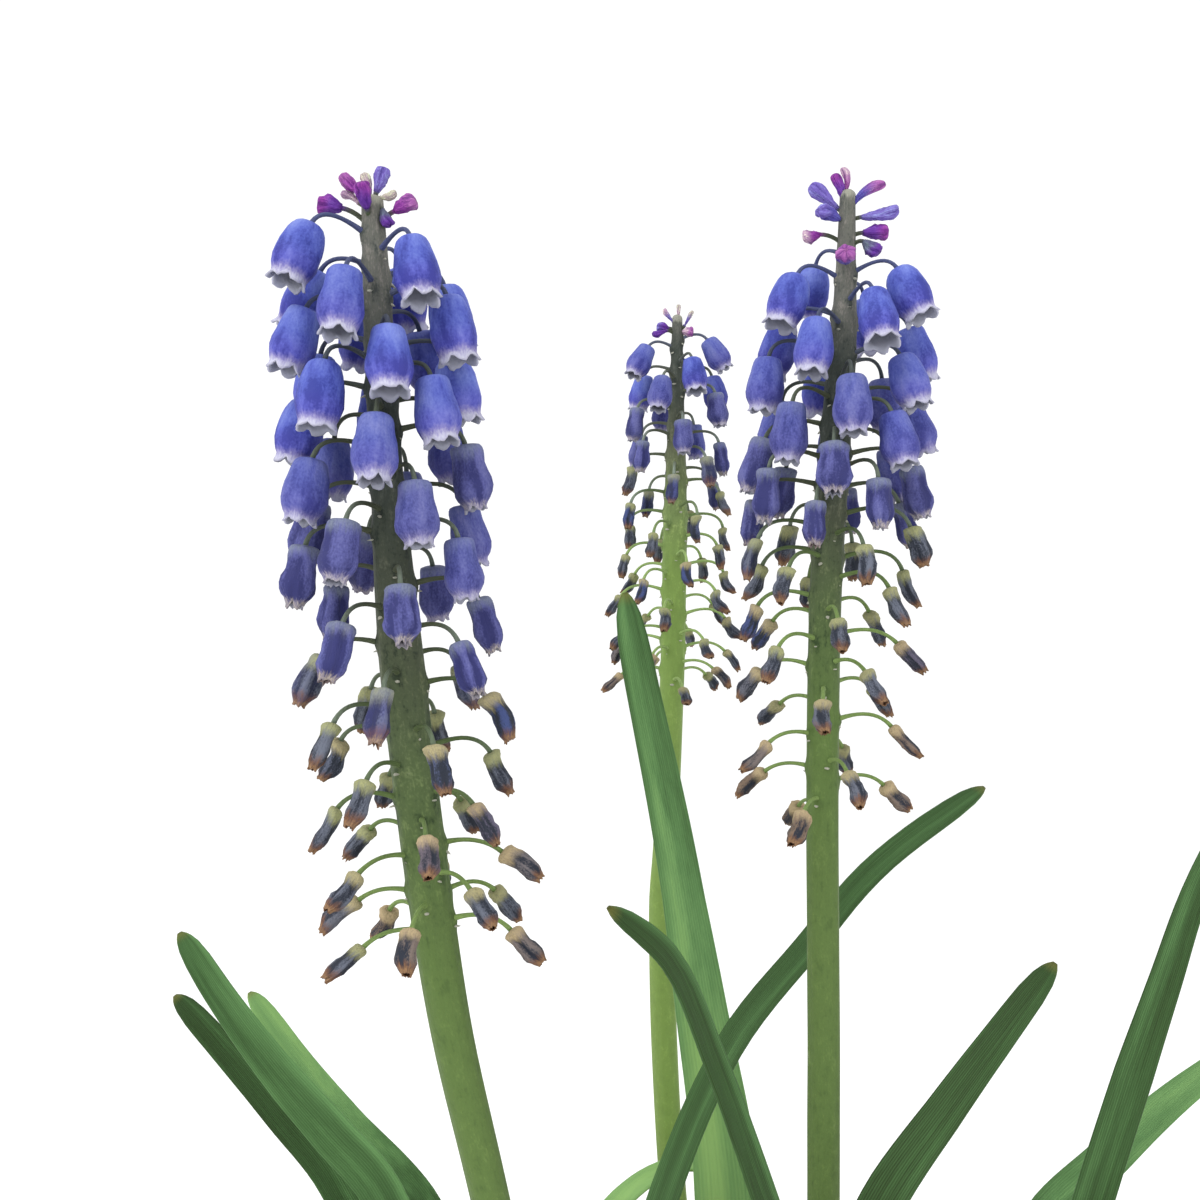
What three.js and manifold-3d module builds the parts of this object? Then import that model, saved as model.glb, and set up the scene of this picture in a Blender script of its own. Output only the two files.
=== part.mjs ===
// Grape hyacinths in flower in a clay pot. Millimetres, +Z up.
// The origin is the middle of the pot's foot, and the front of the plant faces -Y.
import * as THREE from 'three';
import { mergeVertices } from 'three/addons/utils/BufferGeometryUtils.js';
import Module from 'manifold-3d';

const wasm = await Module();
wasm.setup();

// ---- Driving dimensions ----

const GAP = 0.3; // between neighbouring pieces
const STEM_GAP = 0.4; // round a stem or leaf foot in its hole in the soil
const STEM_HOLE_SIDES = 6;

const POT = {
  height: 80, footRadius: 35, neckRadius: 44.5, rimRadius: 50, rimHeight: 17,
  wall: 4.5, floor: 6, lip: 1.2, drains: 5, drainRadius: 2.5, drainCircle: 16, sides: 26,
};

const SOIL = { level: 70, rings: [38, 27, 13], roughness: 0.7, mound: 1.5, sides: 20, seed: 5 };

// A bulb's flat neck carries its scape in the middle and its leaves round it.
const BULB = { neckTop: 62, neckRadius: 6.2, radius: 8.7, height: 18, rootRadius: 4, sides: 8 };
const BULBS = {
  left: [-6.5, -25], right: [11, -6], back: [1, 25], side_right: [27.4, 6.8], side_left: [-21, 5],
};

// A leaf starts as a round foot on its bulb and opens into a channelled strap.
const LEAF = {
  footRadius: 1.2, straightFoot: 9, openBy: 0.3, rib: 1.0, edge: 0.62, channel: 0.16,
  tip: [[0.93, 1], [0.97, 0.84], [1, 0.3]], // share of length, share of the width near the tip
  segments: 8,
};

// Each leaf: the foot on the soil, the way its inner face looks, its full width, the share of it
// left at seven tenths of its length and near the tip, and its route from the soil to the tip.
const LEAVES = [
  { name: 'leaf_front', foot: [14.5, -8.6], faces: [0.55, -0.75, 0.45], width: 2.9, taper: [0.94, 0.8],
    route: [[12.6, -14, 86], [10.2, -18.2, 99], [7.4, -20.6, 111], [4.1, -20.6, 121], [-0.7, -21.5, 134.5],
      [-4.1, -23, 142.4], [-8.9, -25, 147.1]] },
  { name: 'leaf_middle', foot: [2.8, 20.9], faces: [-0.2, -0.95, -0.1], width: 7.5, taper: [0.62, 0.48],
    route: [[4.2, 17.5, 88], [4.6, 14.2, 106], [1.5, 14, 127.5], [-1.6, 14, 146], [-5.2, 14, 163.5],
      [-6.8, 14, 171.8]] },
  { name: 'leaf_crossing', foot: [-9, -21.5], faces: [-0.45, -0.75, 0.5], width: 3.4, taper: [0.92, 0.82],
    route: [[-10, -16.5, 86], [-7.5, -8.5, 101], [-3, 0, 113.3], [4, 5, 126.2], [12, 8, 134.9],
      [20, 12, 142.4], [32.9, 17, 150.3]] },
  { name: 'leaf_right', foot: [7.2, -8.2], faces: [-0.5, -0.75, 0.4], width: 4.6, taper: [0.86, 0.6],
    route: [[8, -10.5, 90], [9.9, -12.3, 104], [15, -13, 118.1], [21.1, -12, 126.3], [26.3, -10.5, 132.3],
      [31.4, -9.5, 138.4]] },
  { name: 'leaf_far_right', foot: [30.5, 3.5], faces: [-0.35, -0.9, 0.2], width: 3.7, taper: [0.98, 0.66],
    route: [[33.2, 1.2, 92], [38.4, 0, 112.7], [42.6, 1.5, 123.4], [46.5, 2.5, 133.3], [49.5, 3, 141.4],
      [53.1, 3, 149.4]] },
  { name: 'leaf_low_right', foot: [31.8, 9.3], faces: [-0.45, -0.7, 0.6], width: 4.7, taper: [0.94, 0.6],
    route: [[34, 12.5, 88], [38.6, 15.6, 102], [47, 18, 108.7], [54.8, 19.2, 114.9], [65.4, 21, 121.6]] },
  { name: 'leaf_left', foot: [-24.5, 2.5], faces: [0.5, -0.75, 0.45], width: 4.9, taper: [0.9, 0.64],
    route: [[-26.8, 4.8, 92], [-32, 8, 109], [-38.2, 10, 115.2], [-44, 12, 120.6], [-50.4, 14, 127.8],
      [-55.3, 15, 134.8]] },
  { name: 'leaf_left_behind', foot: [-25, 7], faces: [0.5, -0.7, 0.5], width: 3.9, taper: [0.98, 0.78],
    route: [[-29, 11.2, 88], [-39.2, 17, 106.8], [-45.4, 19, 113.1], [-51.5, 20.6, 119.2],
      [-58.1, 22, 125.8]] },
  { name: 'leaf_left_back', foot: [-21, 9.4], faces: [0.5, -0.7, 0.5], width: 4.2, taper: [0.92, 0.7],
    route: [[-23.4, 18, 85], [-30, 27, 98.7], [-39.5, 29, 108.3], [-46, 31, 114.9], [-52.6, 33, 122.8]] },
  { name: 'leaf_low_middle', foot: [-16.8, 6], faces: [-0.24, -0.3, 1], width: 3.6, taper: [0.9, 0.55],
    route: [[-15.4, 7.8, 86], [-12.3, 10.5, 98], [-7, 14.5, 105.8], [0.5, 19, 107.6], [8.5, 20.8, 102.5]] },
  { name: 'leaf_arch_front_left', foot: [-9.5, -28], faces: [0.21, 0.28, 1], width: 4.6, taper: [0.92, 0.55],
    route: [[-12.4, -32, 88], [-19, -41, 98], [-27, -51, 97], [-34, -60, 88]] },
  { name: 'leaf_arch_front', foot: [-3, -27.6], faces: [-0.13, 0.27, 1], width: 4.2, taper: [0.92, 0.55],
    route: [[-0.5, -32, 88], [5, -43, 97], [10, -53, 93], [13.5, -60, 82]] },
  { name: 'leaf_arch_front_right', foot: [15.3, -4.9], faces: [-0.2, 0.29, 1], width: 4.4,
    taper: [0.92, 0.55], route: [[20, -11, 89], [29, -24, 99], [38, -37, 97], [45, -47, 86]] },
  { name: 'leaf_arch_right', foot: [28.5, 11.3], faces: [-0.16, -0.31, 1], width: 4.5, taper: [0.92, 0.55],
    route: [[31.5, 18, 84], [37.5, 30, 92], [43.5, 41, 90], [49, 50, 83]] },
  { name: 'leaf_arch_back', foot: [2.6, 29], faces: [-0.1, -0.33, 1], width: 4.6, taper: [0.92, 0.55],
    route: [[4, 33, 80], [7, 43, 87], [10.5, 54, 87], [13, 63, 80]] },
  { name: 'leaf_arch_back_left', foot: [-2.8, 27.2], faces: [0.23, -0.26, 1], width: 4.3, taper: [0.92, 0.55],
    route: [[-6, 32, 80], [-13, 41, 87], [-22.5, 51, 86.5], [-30, 58, 79]] },
  { name: 'leaf_arch_left', foot: [-20.3, 0.7], faces: [0.29, 0.2, 1], width: 4.5, taper: [0.92, 0.55],
    route: [[-25, -5, 88], [-37, -14, 97], [-49, -21, 93], [-58, -26, 81]] },
];

// A scape and its raceme. The florets sit on a spiral of the divergence angle, counted from the
// front towards +X, highest first. The values along the raceme go from 0 at its top to 1.
// Its clubs are the sterile buds at the stem's end: the turn from the front, the height over the
// stem's end and the reach from its axis where the club starts, how far below that its stalk
// leaves the stem, the club's lean in degrees from up, its length and its width.
const RACEMES = [
  {
    name: 'raceme_left', bulb: 'left', seed: 44508,
    axis: [[-7.4, -25, 79], [-12.2, -25, 99], [-18, -25, 124.4], [-21.2, -25, 138.5], [-24.3, -25, 160.4],
      [-26, -25, 179.5], [-27.2, -25, 202]],
    radius: [[62, 1.5], [124, 1.52], [139, 1.65], [152, 1.76], [166, 1.76], [172, 1.6], [179, 1.3], [192, 1.15],
      [202, 0.85]],
    florets: 64, start: 309.9, divergence: -137.255, top: 197.1, span: 53.9, crowding: [0.01, -0.12],
    reach: [5.95, 1.62, -0.25], size: 1, wilts: [0.3, 0.78],
    clubs: [
      [265, 0.5, 0.9, 0.8, 45, 2.3, 1.1], [345, -0.9, 1.1, 0.6, 30, 2.1, 1.3],
      [240, 0.3, 0.3, 0.6, 14, 2.1, 0.85], [95, 0.7, 0.3, 0.9, 18, 2.1, 1.15],
      [250, 0, 1.2, 0.6, 58, 1.8, 0.75], [80, 0.2, 0.65, 0.6, 76, 1.4, 0.7],
      [275, -0.6, 2.35, 1.5, 80, 1.95, 1.5], [78, -0.9, 1.75, 1.2, 70, 2, 1.35],
      [60, -0.8, 0.95, 0.1, 150, 1.6, 1],
    ],
  },
  {
    name: 'raceme_right', bulb: 'right', seed: 14381,
    axis: [[11, -6, 80], [11.2, -6, 127], [11.1, -6, 156.3], [11.4, -6, 172], [12.2, -6, 185], [13, -6, 195.1],
      [13.4, -6, 208.5]],
    radius: [[62, 1.5], [127, 1.5], [183, 1.45], [190, 1.35], [195, 1.2], [202, 0.9], [208, 0.72]],
    florets: 59, start: 202.2, divergence: -136.7, top: 200.5, span: 51, crowding: [-0.12, 0.5],
    reach: [6.3, 4.06, -3.5], size: 1, wilts: [0.26, 0.62],
    clubs: [
      [270, 0.3, 0.1, 0.4, 8, 2.3, 0.8], [280, -0.3, 0.5, 0.5, 22, 2.35, 1.05],
      [265, -1.3, 0.85, 0.5, 48, 3.5, 1.4], [300, -2.4, 0.9, 0.4, 82, 2.7, 1.4],
      [85, -1, 0.45, 0.5, 56, 3.7, 1.05], [95, -2.05, 1.35, 0.3, 77, 3.7, 1.4],
      [262, -3.6, 2.4, 1.1, 90, 1.7, 1.2], [100, -3.45, 1.6, 0.55, 86, 2.5, 1.5],
      [70, -4.5, 1.6, 0.6, 128, 1.9, 1.45], [349, -6.4, 1.3, 0.5, 75, 1.9, 1.8],
    ],
  },
  {
    name: 'raceme_back', bulb: 'back', seed: 29917,
    axis: [[0.6, 25, 82], [-1.7, 25, 113], [-2.3, 25, 135.7], [-1.9, 25, 142], [-1.1, 25, 162], [-0.7, 25, 184],
      [-0.5, 25, 203.8]],
    radius: [[62, 1.2], [74, 1.2], [100, 1.55], [130, 1.5], [150, 1.4], [180, 1.4], [186, 1.2], [197, 0.76],
      [203, 0.6]],
    florets: 54, start: 75.4, divergence: -137.17, top: 199.8, span: 39.5, crowding: [0.24, 0.1],
    reach: [4.4, 4.08, -1.13], size: 0.8, wilts: [0.1, 0.48],
    clubs: [
      [280, -0.35, 0.5, 0.4, 36, 1.85, 0.6], [90, 0.1, 0.1, 0.4, 3, 1.6, 0.55],
      [85, -0.85, 0.85, 0.5, 30, 2.05, 0.55], [265, -1.1, 0.95, 0.3, 85, 1.5, 1],
      [290, -1.5, 1.35, 0.5, 109, 1.9, 0.8], [80, -1.6, 0.6, 0.3, 95, 1.35, 1.25],
    ],
  },
];

// One floret, from a fresh bell to a withered tube. Lengths and widths are of the largest bells.
const FLORET = {
  length: [5, 3.55], width: [3.6, 1.75], pedicel: 0.27, sunk: 0.5, sides: 6,
  bell: [[0.1, 0.62], [0.6, 1], [1, 0.74]], // share of length, share of radius
  tube: [[0.14, 0.85], [0.6, 1], [1, 0.66]],
  mouthDepth: 0.24,
};
const DROP = [[0, 2.2], [0.3, 3.6], [0.5, 3.2], [0.8, 1.8], [1, 1.8]]; // from the stem to the bell's middle
const HANG = [[0, 26], [0.12, 14], [0.45, 10], [0.62, 24], [0.8, 42], [1, 48]]; // degrees out from plumb
const JITTER = { turn: 7, height: 0.6, reach: 0.45, hang: 7 };

// A club: its stalk's radius and its outline, as shares of its length and its radius.
const CLUB = { stalk: 0.22, outline: [[0.35, 0.72], [0.82, 1]] };

// ---- Small helpers ----

const UP = new THREE.Vector3(0, 0, 1);

// The value at x of a curve through straight stretches between [x, value] pairs.
function profile(pairs, x) {
  const next = pairs.findIndex(([at]) => at >= x);
  if (next === 0) return pairs[0][1];
  if (next < 0) return pairs[pairs.length - 1][1];
  const [[x0, v0], [x1, v1]] = [pairs[next - 1], pairs[next]];
  return THREE.MathUtils.mapLinear(x, x0, x1, v0, v1);
}

// A seeded source of numbers from 0 to 1.
function seeded(seed) {
  let state = seed >>> 0;
  return () => {
    state = (state + 0x6d2b79f5) >>> 0;
    let t = Math.imul(state ^ (state >>> 15), 1 | state);
    t = (t + Math.imul(t ^ (t >>> 7), 61 | t)) ^ t;
    return ((t ^ (t >>> 14)) >>> 0) / 4294967296;
  };
}

// A direction in the ground plane, turned by degrees from the front towards +X.
function outward(degrees) {
  const angle = THREE.MathUtils.degToRad(degrees);
  return new THREE.Vector3(Math.sin(angle), -Math.cos(angle), 0);
}

function geometryOf(points, faces) {
  const position = new Float32Array(points.flatMap((p) => p.toArray()));
  return new THREE.BufferGeometry()
    .setAttribute('position', new THREE.BufferAttribute(position, 3))
    .setIndex(faces);
}

// A closed skin over rings of points. A ring may have as many points as the last or twice as
// many, and a ring of one point closes an end. leansBack names the sides whose faces are split
// along their other diagonal.
function skin(rings, leansBack = () => false) {
  const points = rings.flat();
  const faces = [];
  let base = 0;
  rings.slice(1).forEach((ring, i) => {
    const [n, m] = [rings[i].length, ring.length];
    const low = (k) => base + (k % n);
    const high = (k) => base + n + (k % m);
    for (let k = 0; k < Math.max(n, m) / (m > n && n > 1 ? 2 : 1); k++) {
      if (n === 1) faces.push(low(0), high(k + 1), high(k));
      else if (m === 1) faces.push(low(k), low(k + 1), high(0));
      else if (m > n) {
        faces.push(low(k), high(2 * k + 1), high(2 * k));
        faces.push(low(k), low(k + 1), high(2 * k + 1));
        faces.push(low(k + 1), high(2 * k + 2), high(2 * k + 1));
      } else if (leansBack(k)) {
        faces.push(low(k), low(k + 1), high(k), low(k + 1), high(k + 1), high(k));
      } else {
        faces.push(low(k), low(k + 1), high(k + 1), low(k), high(k + 1), high(k));
      }
    }
    base += n;
  });
  return geometryOf(points, faces);
}

// A ring of points round a centre, from the axis "side" towards the axis "rise".
function ring(centre, side, rise, radius, sides) {
  return Array.from({ length: sides }, (_, i) => {
    const angle = (2 * Math.PI * i) / sides;
    return centre.clone()
      .addScaledVector(side, radius * Math.cos(angle))
      .addScaledVector(rise, radius * Math.sin(angle));
  });
}

function solid(geometry) {
  const bare = geometry.clone();
  bare.deleteAttribute('normal');
  bare.deleteAttribute('uv');
  const merged = mergeVertices(bare, 1e-5);
  return new wasm.Manifold(new wasm.Mesh({
    numProp: 3,
    vertProperties: merged.attributes.position.array,
    triVerts: new Uint32Array(merged.index.array),
  }));
}

function geometryFrom(manifold) {
  const mesh = manifold.getMesh();
  return new THREE.BufferGeometry()
    .setAttribute('position', new THREE.BufferAttribute(mesh.vertProperties, 3))
    .setIndex(new THREE.BufferAttribute(mesh.triVerts, 1));
}

// The solids fused into one body: hollows that the fusing seals are filled, loose scraps dropped.
function fused(solids) {
  const bodies = wasm.Manifold.union(solids).decompose();
  return bodies.reduce((best, body) => (body.volume() > best.volume() ? body : best));
}

// A body of revolution from [radius, height] pairs that start and end on the axis.
function turned(pairs, sides) {
  const points = pairs.map(([r, z]) => new THREE.Vector2(r, z));
  return new THREE.LatheGeometry(points, sides).rotateX(Math.PI / 2);
}

function material(color, roughness) {
  return new THREE.MeshStandardMaterial({ color, roughness, metalness: 0 });
}

// ---- The pot ----

function potGeometry() {
  const inner = POT.rimRadius - POT.wall;
  const rimFoot = POT.height - POT.rimHeight;
  const body = solid(turned([
    [0, 0], [POT.footRadius, 0], [POT.neckRadius, rimFoot], [POT.rimRadius - POT.lip, rimFoot],
    [POT.rimRadius, rimFoot + POT.lip], [POT.rimRadius, POT.height - POT.lip],
    [POT.rimRadius - POT.lip, POT.height], [inner + POT.lip, POT.height], [inner, POT.height - POT.lip],
    [potInside(rimFoot), rimFoot], [potInside(POT.floor), POT.floor], [0, POT.floor],
  ], POT.sides));
  const drains = Array.from({ length: POT.drains }, (_, i) => {
    const at = outward((360 * i) / POT.drains).multiplyScalar(POT.drainCircle);
    const hole = new THREE.CylinderGeometry(POT.drainRadius, POT.drainRadius, 3 * POT.floor, 6);
    return solid(hole.rotateX(Math.PI / 2).translate(at.x, at.y, 0));
  });
  return geometryFrom(body.subtract(wasm.Manifold.union(drains)));
}

// The pot's inner radius at a height below the rim's lip.
function potInside(z) {
  const rimFoot = POT.height - POT.rimHeight;
  return profile([
    [0, POT.footRadius - POT.wall], [rimFoot, POT.neckRadius - POT.wall],
    [POT.height, POT.rimRadius - POT.wall],
  ], z);
}

// ---- Bulbs and soil ----

// A bulb's outline, grown by a margin all round.
function bulbOutline(margin) {
  const root = BULB.neckTop - BULB.height;
  return [
    [0, root - margin], [BULB.rootRadius + margin, root - margin],
    [BULB.radius + margin, root + 0.45 * BULB.height],
    [BULB.neckRadius + margin, BULB.neckTop + margin], [0, BULB.neckTop + margin],
  ];
}

function bulbGeometry([x, y], margin = 0) {
  return turned(bulbOutline(margin), BULB.sides).translate(x, y, 0);
}

function stemHole([x, y], radius) {
  const length = 2 * (SOIL.level - BULB.neckTop);
  const widest = (radius + STEM_GAP) / Math.cos(Math.PI / STEM_HOLE_SIDES);
  const hole = new THREE.CylinderGeometry(widest, widest, length, STEM_HOLE_SIDES);
  return solid(hole.rotateX(Math.PI / 2).translate(x, y, BULB.neckTop + length / 2));
}

// The soil fills the pot, with a low uneven mound on top, a chamber round each bulb and a plain
// hole down to it for each foot.
function soilGeometry() {
  const random = seeded(SOIL.seed);
  const circle = (radius, z, uneven) => Array.from({ length: SOIL.sides }, (_, i) => {
    const rise = uneven ? SOIL.roughness * (2 * random() - 1) + SOIL.mound * (1 - radius / SOIL.rings[0]) : 0;
    return outward((360 * i) / SOIL.sides).multiplyScalar(radius).setZ(z + rise);
  });
  const rimFoot = POT.height - POT.rimHeight;
  const floor = POT.floor + GAP;
  const shoulder = SOIL.level - 1;
  const side = (z) => (potInside(z) - GAP) * Math.cos(Math.PI / POT.sides);
  const body = solid(skin([
    [new THREE.Vector3(0, 0, floor)],
    circle(side(floor), floor), circle(side(rimFoot), rimFoot),
    circle(side(shoulder), shoulder),
    ...SOIL.rings.map((radius) => circle(radius, SOIL.level, true)),
    [new THREE.Vector3(0, 0, SOIL.level + SOIL.mound)],
  ]));
  const chambers = Object.values(BULBS).map((at) => solid(bulbGeometry(at, 1.3 * GAP)));
  const leafHoles = LEAVES.map(({ foot }) => stemHole(foot, LEAF.footRadius));
  const scapeHoles = RACEMES.map(({ bulb, radius }) => stemHole(BULBS[bulb], radius[0][1]));
  return geometryFrom(body.subtract(wasm.Manifold.union([...chambers, ...leafHoles, ...scapeHoles])));
}

// ---- Leaves ----

// The six corners of a leaf's section in its own plane, x across and y towards the inner face.
function leafSection(width, open) {
  const lift = LEAF.channel * width;
  const [rib, edge] = [LEAF.rib / 2, LEAF.edge / 2];
  const strap = [
    [-width / 2, lift - edge], [0, -rib], [width / 2, lift - edge],
    [width / 2, lift + edge], [0, rib], [-width / 2, lift + edge],
  ];
  return strap.map(([x, y], i) => {
    const angle = THREE.MathUtils.degToRad(210 + 60 * i);
    return [
      THREE.MathUtils.lerp(LEAF.footRadius * Math.cos(angle), x, open),
      THREE.MathUtils.lerp(LEAF.footRadius * Math.sin(angle), y, open),
    ];
  });
}

function leafGeometry({ foot: [x, y], faces, width, taper, route }) {
  const footEnd = BULB.neckTop + GAP;
  const curve = new THREE.CatmullRomCurve3([
    new THREE.Vector3(x, y, footEnd), new THREE.Vector3(x, y, footEnd + LEAF.straightFoot),
    ...route.map((p) => new THREE.Vector3(...p)),
  ], false, 'centripetal');
  const buried = LEAF.straightFoot / curve.getLength();
  const widths = [
    [0, 2 * LEAF.footRadius], [buried, 2 * LEAF.footRadius], [0.4, width], [0.7, width * taper[0]],
    ...LEAF.tip.map(([along, share]) => [along, width * taper[1] * share]),
  ];
  const stations = [0, buried];
  for (let i = 1; i < LEAF.segments; i++) {
    stations.push(THREE.MathUtils.mapLinear(i, 0, LEAF.segments, buried, 1));
  }
  stations.push(0.97, 1);
  const inner = new THREE.Vector3(...faces);
  const rings = stations.map((s) => {
    const centre = curve.getPointAt(s);
    const along = s <= buried ? UP : curve.getTangentAt(s);
    const across = new THREE.Vector3().crossVectors(inner, along).normalize();
    const face = new THREE.Vector3().crossVectors(along, across);
    const open = THREE.MathUtils.smoothstep(s, buried, LEAF.openBy);
    return leafSection(profile(widths, s), open).map(([u, v]) => (
      centre.clone().addScaledVector(across, u).addScaledVector(face, v)
    ));
  });
  const [first, last] = [rings[0], rings[rings.length - 1]];
  const middle = (points) => points.reduce((sum, p) => sum.add(p), new THREE.Vector3())
    .divideScalar(points.length);
  return skin([[middle(first)], ...rings, [middle(last)]], (k) => k >= 3);
}

// ---- Racemes ----

// The stem's axis as a curve, and its middle at any height.
function scapeAxis({ bulb, axis }) {
  const [x, y] = BULBS[bulb];
  const foot = [BULB.neckTop + GAP, SOIL.level + 2].map((z) => new THREE.Vector3(x, y, z));
  const curve = new THREE.CatmullRomCurve3([...foot, ...axis.map((p) => new THREE.Vector3(...p))], false,
    'centripetal');
  const samples = curve.getSpacedPoints(200);
  const at = (z) => new THREE.Vector3(
    profile(samples.map((p) => [p.z, p.x]), z),
    profile(samples.map((p) => [p.z, p.y]), z),
    z,
  );
  return { at, low: foot[0].z, high: axis[axis.length - 1][2] };
}

function scapeSolid(raceme, line) {
  const heights = [line.low, SOIL.level + 2];
  for (let i = 1; i <= 10; i++) heights.push(THREE.MathUtils.mapLinear(i, 0, 10, SOIL.level + 2, line.high));
  const sides = 8;
  const east = new THREE.Vector3(1, 0, 0);
  const north = new THREE.Vector3(0, 1, 0);
  const rings = heights.map((z) => ring(line.at(z), east, north, profile(raceme.radius, z), sides));
  const crown = line.at(line.high);
  return solid(skin([[line.at(line.low)], ...rings, [crown.clone().setZ(line.high + 0.5)]]));
}

// A stalk and a bell or club in the vertical plane of "out". The stalk leaves the stem at root,
// arches over and meets the top of the bell, whose mouth is along "down".
function hungForm({ root, out, top, down, length, radius, outline, mouth, stalk, bends }) {
  const side = new THREE.Vector3().crossVectors(out, UP).normalize();
  const reach = root.distanceTo(top);
  const path = new THREE.QuadraticBezierCurve3(root, top.clone().addScaledVector(down, -0.5 * reach), top);
  const rings = Array.from({ length: bends + 2 }, (_, i) => i / (bends + 1)).map((s) => {
    const rise = new THREE.Vector3().crossVectors(path.getTangent(s), side).normalize();
    return ring(path.getPoint(s), side, rise, stalk, 3);
  });
  const rise = new THREE.Vector3().crossVectors(down, side).normalize();
  outline.forEach(([along, wide]) => {
    rings.push(ring(top.clone().addScaledVector(down, along * length), side, rise, wide * radius,
      FLORET.sides));
  });
  const centre = top.clone().addScaledVector(down, mouth * length);
  return solid(skin([[rings[0].reduce((a, b) => a.clone().add(b)).divideScalar(3)], ...rings, [centre]]));
}

function floretSolid(raceme, line, index, random) {
  const along = index / (raceme.florets - 1);
  const shake = (range) => range * (2 * random() - 1);
  const [even, lower] = raceme.crowding;
  const share = along + along * (1 - along) * (even + lower * (1 - 2 * along));
  const out = outward(raceme.start + raceme.divergence * index + shake(JITTER.turn));
  const height = raceme.top - raceme.span * share + raceme.size * shake(JITTER.height);
  const [r0, r1, r2] = raceme.reach;
  const reach = r0 + r1 * along + r2 * along * along + raceme.size * shake(JITTER.reach);
  const lean = THREE.MathUtils.degToRad(profile(HANG, along) + shake(JITTER.hang));
  const wilted = THREE.MathUtils.smoothstep(along, ...raceme.wilts);
  const stemZ = height + raceme.size * profile(DROP, along);
  const stem = line.at(stemZ);
  const length = raceme.size * THREE.MathUtils.lerp(...FLORET.length, wilted);
  const radius = raceme.size * THREE.MathUtils.lerp(...FLORET.width, wilted) / 2;
  const down = out.clone().multiplyScalar(Math.sin(lean)).addScaledVector(UP, -Math.cos(lean));
  const middle = stem.clone().addScaledVector(out, reach).setZ(height);
  return hungForm({
    root: stem.clone().addScaledVector(out, profile(raceme.radius, stemZ) - FLORET.sunk),
    out, down, length, radius,
    top: middle.addScaledVector(down, -length / 2),
    outline: wilted > 0.6 ? FLORET.tube : FLORET.bell,
    mouth: 1 - FLORET.mouthDepth * (1 - wilted),
    stalk: FLORET.pedicel,
    bends: 1,
  });
}

function clubSolid(raceme, line, [turn, rise, reach, drop, tilt, length, width]) {
  const out = outward(turn);
  const lean = THREE.MathUtils.degToRad(tilt);
  const down = out.clone().multiplyScalar(Math.sin(lean)).addScaledVector(UP, Math.cos(lean));
  const [start, leaves] = [line.high + rise, line.high + rise - drop];
  return hungForm({
    root: line.at(leaves).addScaledVector(out, 0.3 * profile(raceme.radius, leaves)),
    out, down, length,
    radius: width / 2,
    top: line.at(start).addScaledVector(out, reach),
    outline: CLUB.outline,
    mouth: 1,
    stalk: CLUB.stalk,
    bends: 0,
  });
}

function racemeGeometry(raceme) {
  const line = scapeAxis(raceme);
  const random = seeded(raceme.seed);
  const pieces = [scapeSolid(raceme, line)];
  for (let i = 0; i < raceme.florets; i++) pieces.push(floretSolid(raceme, line, i, random));
  raceme.clubs.forEach((club) => pieces.push(clubSolid(raceme, line, club)));
  return geometryFrom(fused(pieces));
}

// ---- The whole plant ----

const CLAY = material(0xb5653f, 0.9);
const EARTH = material(0x3a2c22, 1);
const BULB_SKIN = material(0x8a6a48, 0.8);
const LEAF_GREEN = material(0x4f8a48, 0.55);
const FLOWER_BLUE = material(0x4c50be, 0.6);

function named(name, geometry, look) {
  const mesh = new THREE.Mesh(geometry, look);
  mesh.name = name;
  return mesh;
}

const plant = new THREE.Group();
plant.add(named('pot', potGeometry(), CLAY));
plant.add(named('soil', soilGeometry(), EARTH));
for (const [place, at] of Object.entries(BULBS)) {
  plant.add(named(`bulb_${place}`, bulbGeometry(at), BULB_SKIN));
}
for (const leaf of LEAVES) plant.add(named(leaf.name, leafGeometry(leaf), LEAF_GREEN));
for (const raceme of RACEMES) plant.add(named(raceme.name, racemeGeometry(raceme), FLOWER_BLUE));

export default plant;
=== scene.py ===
"""Grape hyacinths in flower in a clay pot: the finished surfaces, built round the fixed frame.

The tables and the meshes are in millimetres until finished() turns a mesh to metres.
"""

import math
import random
from bisect import bisect_left

import bmesh
import bpy
from bpy.props import FloatProperty, FloatVectorProperty, IntProperty, PointerProperty
from mathutils import Color, Matrix, Vector, noise


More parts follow.
